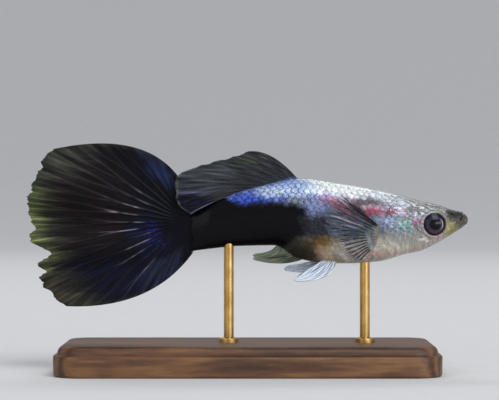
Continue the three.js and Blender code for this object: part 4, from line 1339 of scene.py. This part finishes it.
def brass_rod(node, behind):
    """A rod turned about its axis: a collar where it stands on the base, and a top sunk in the belly."""
    low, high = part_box(node)
    x = (low.x + high.x) / 2 / MM
    foot, radius = BASE_HIGH[2], (high.x - low.x) / 2 / MM
    top = SNOUT_Z + belly(behind) + SINK
    arc = np.linspace(0, np.pi / 2, 5)
    profile = [(0.98, foot - 0.1), (0.98, foot + 0.32)]
    profile += [(0.86 + 0.12 * np.cos(a), foot + 0.32 + 0.12 * np.sin(a)) for a in arc]
    profile += [(radius + 0.06, foot + 0.46), (radius, foot + 0.5), (radius, top)]
    turn = np.linspace(0, 2 * np.pi, ROD_POINTS, endpoint=False)
    rings = [np.column_stack([x + r * np.cos(turn), r * np.sin(turn), np.full(ROD_POINTS, z)]) for r, z in profile]
    piece = ringed(node.replace("stand", "brass"), rings, [x, 0, foot - 0.1], [x, 0, top], BRASS, node)


base_board()
brass_rod("stand_rod_front", 10.3)
brass_rod("stand_rod_rear", 23.9)

# %% [markdown]
# A plain pale floor that curves up all round the model leaves no horizon in any view. The light is what a product
# photographer would use on something wet: one large soft light above and in front, a low one for the belly, a
# long strip behind for the rim, and a dim fill, with a pale surround for the gloss to mirror.

# %% Floor and light
FLAT, BEND, RISE_TO = 520.0, 1100.0, np.radians(62)
FLOOR_TURNS = 96


def sweep():
    """The floor: a profile of radius and height turned about Z, flat and then curving up through an arc."""
    arc = np.linspace(0, RISE_TO, 28)
    radius = np.concatenate([[0.5, 80.0, 220.0], FLAT + BEND * np.sin(arc)])
    height = np.concatenate([np.zeros(3), BEND * (1 - np.cos(arc))])
    turn = np.linspace(0, 2 * np.pi, FLOOR_TURNS, endpoint=False)
    points = np.stack([
        np.outer(radius, np.cos(turn)), np.outer(radius, np.sin(turn)), np.outer(height, np.ones(FLOOR_TURNS)),
    ], axis=-1).reshape(-1, 3)
    quads = tube_faces(len(radius), FLOOR_TURNS)[0][:, [0, 3, 2, 1]]
    material, tree, place = new_material("pale_paper")
    grain = add_node(tree, "TexNoise", Vector=place, Scale=400.0, Detail=3.0)
    colour = add_node(tree, "ValToRGB", {"stops": [(0.3, "#d7d7d8"), (0.7, "#dadadb")]}, in0=grain)
    shader = add_node(tree, "BsdfPrincipled", Base_Color=colour, Roughness=0.9)
    add_node(tree, "OutputMaterial", Surface=shader)
    mesh = bpy.data.meshes.new("sweep")
    mesh.from_pydata((points * MM).tolist(), [], [*quads.tolist(), list(range(FLOOR_TURNS))])
    mesh.shade_smooth()
    mesh.materials.append(material)
    floor = bpy.data.objects.new("sweep", mesh)
    bpy.context.scene.collection.objects.link(floor)


def soft_light(name, place, aim, size, power):
    """A square or oblong soft light at a place in millimetres, facing aim."""
    light = bpy.data.lights.new(name, "AREA")
    light.shape = "RECTANGLE"
    light.size, light.size_y = size[0] * MM, size[1] * MM
    light.energy = power
    lamp = bpy.data.objects.new(name, light)
    lamp.location = Vector(place) * MM
    lamp.rotation_euler = (Vector(aim) - Vector(place)).to_track_quat("-Z", "Y").to_euler()
    bpy.context.scene.collection.objects.link(lamp)


sweep()
soft_light("key", (380, -800, 900), (2, 0, 15), (700, 700), 7.5)
soft_light("fill", (-500, -620, 260), (0, 0, 14), (500, 400), 0.8)
soft_light("front", (400, -460, 110), (0, 0, 14), (400, 120), 1.2)
soft_light("rim", (-60, 330, 420), (0, 0, 16), (500, 120), 0.6)
world = bpy.data.worlds.new("studio")
world.use_nodes = True
background = world.node_tree.nodes["Background"]
background.inputs["Color"].default_value = paint("#e8ecf2")
background.inputs["Strength"].default_value = 0.5
bpy.context.scene.world = world
bpy.context.scene.view_settings.view_transform = "Standard"
print(len(bpy.data.lights), "lights, and a floor flat for", FLAT, "mm each way")
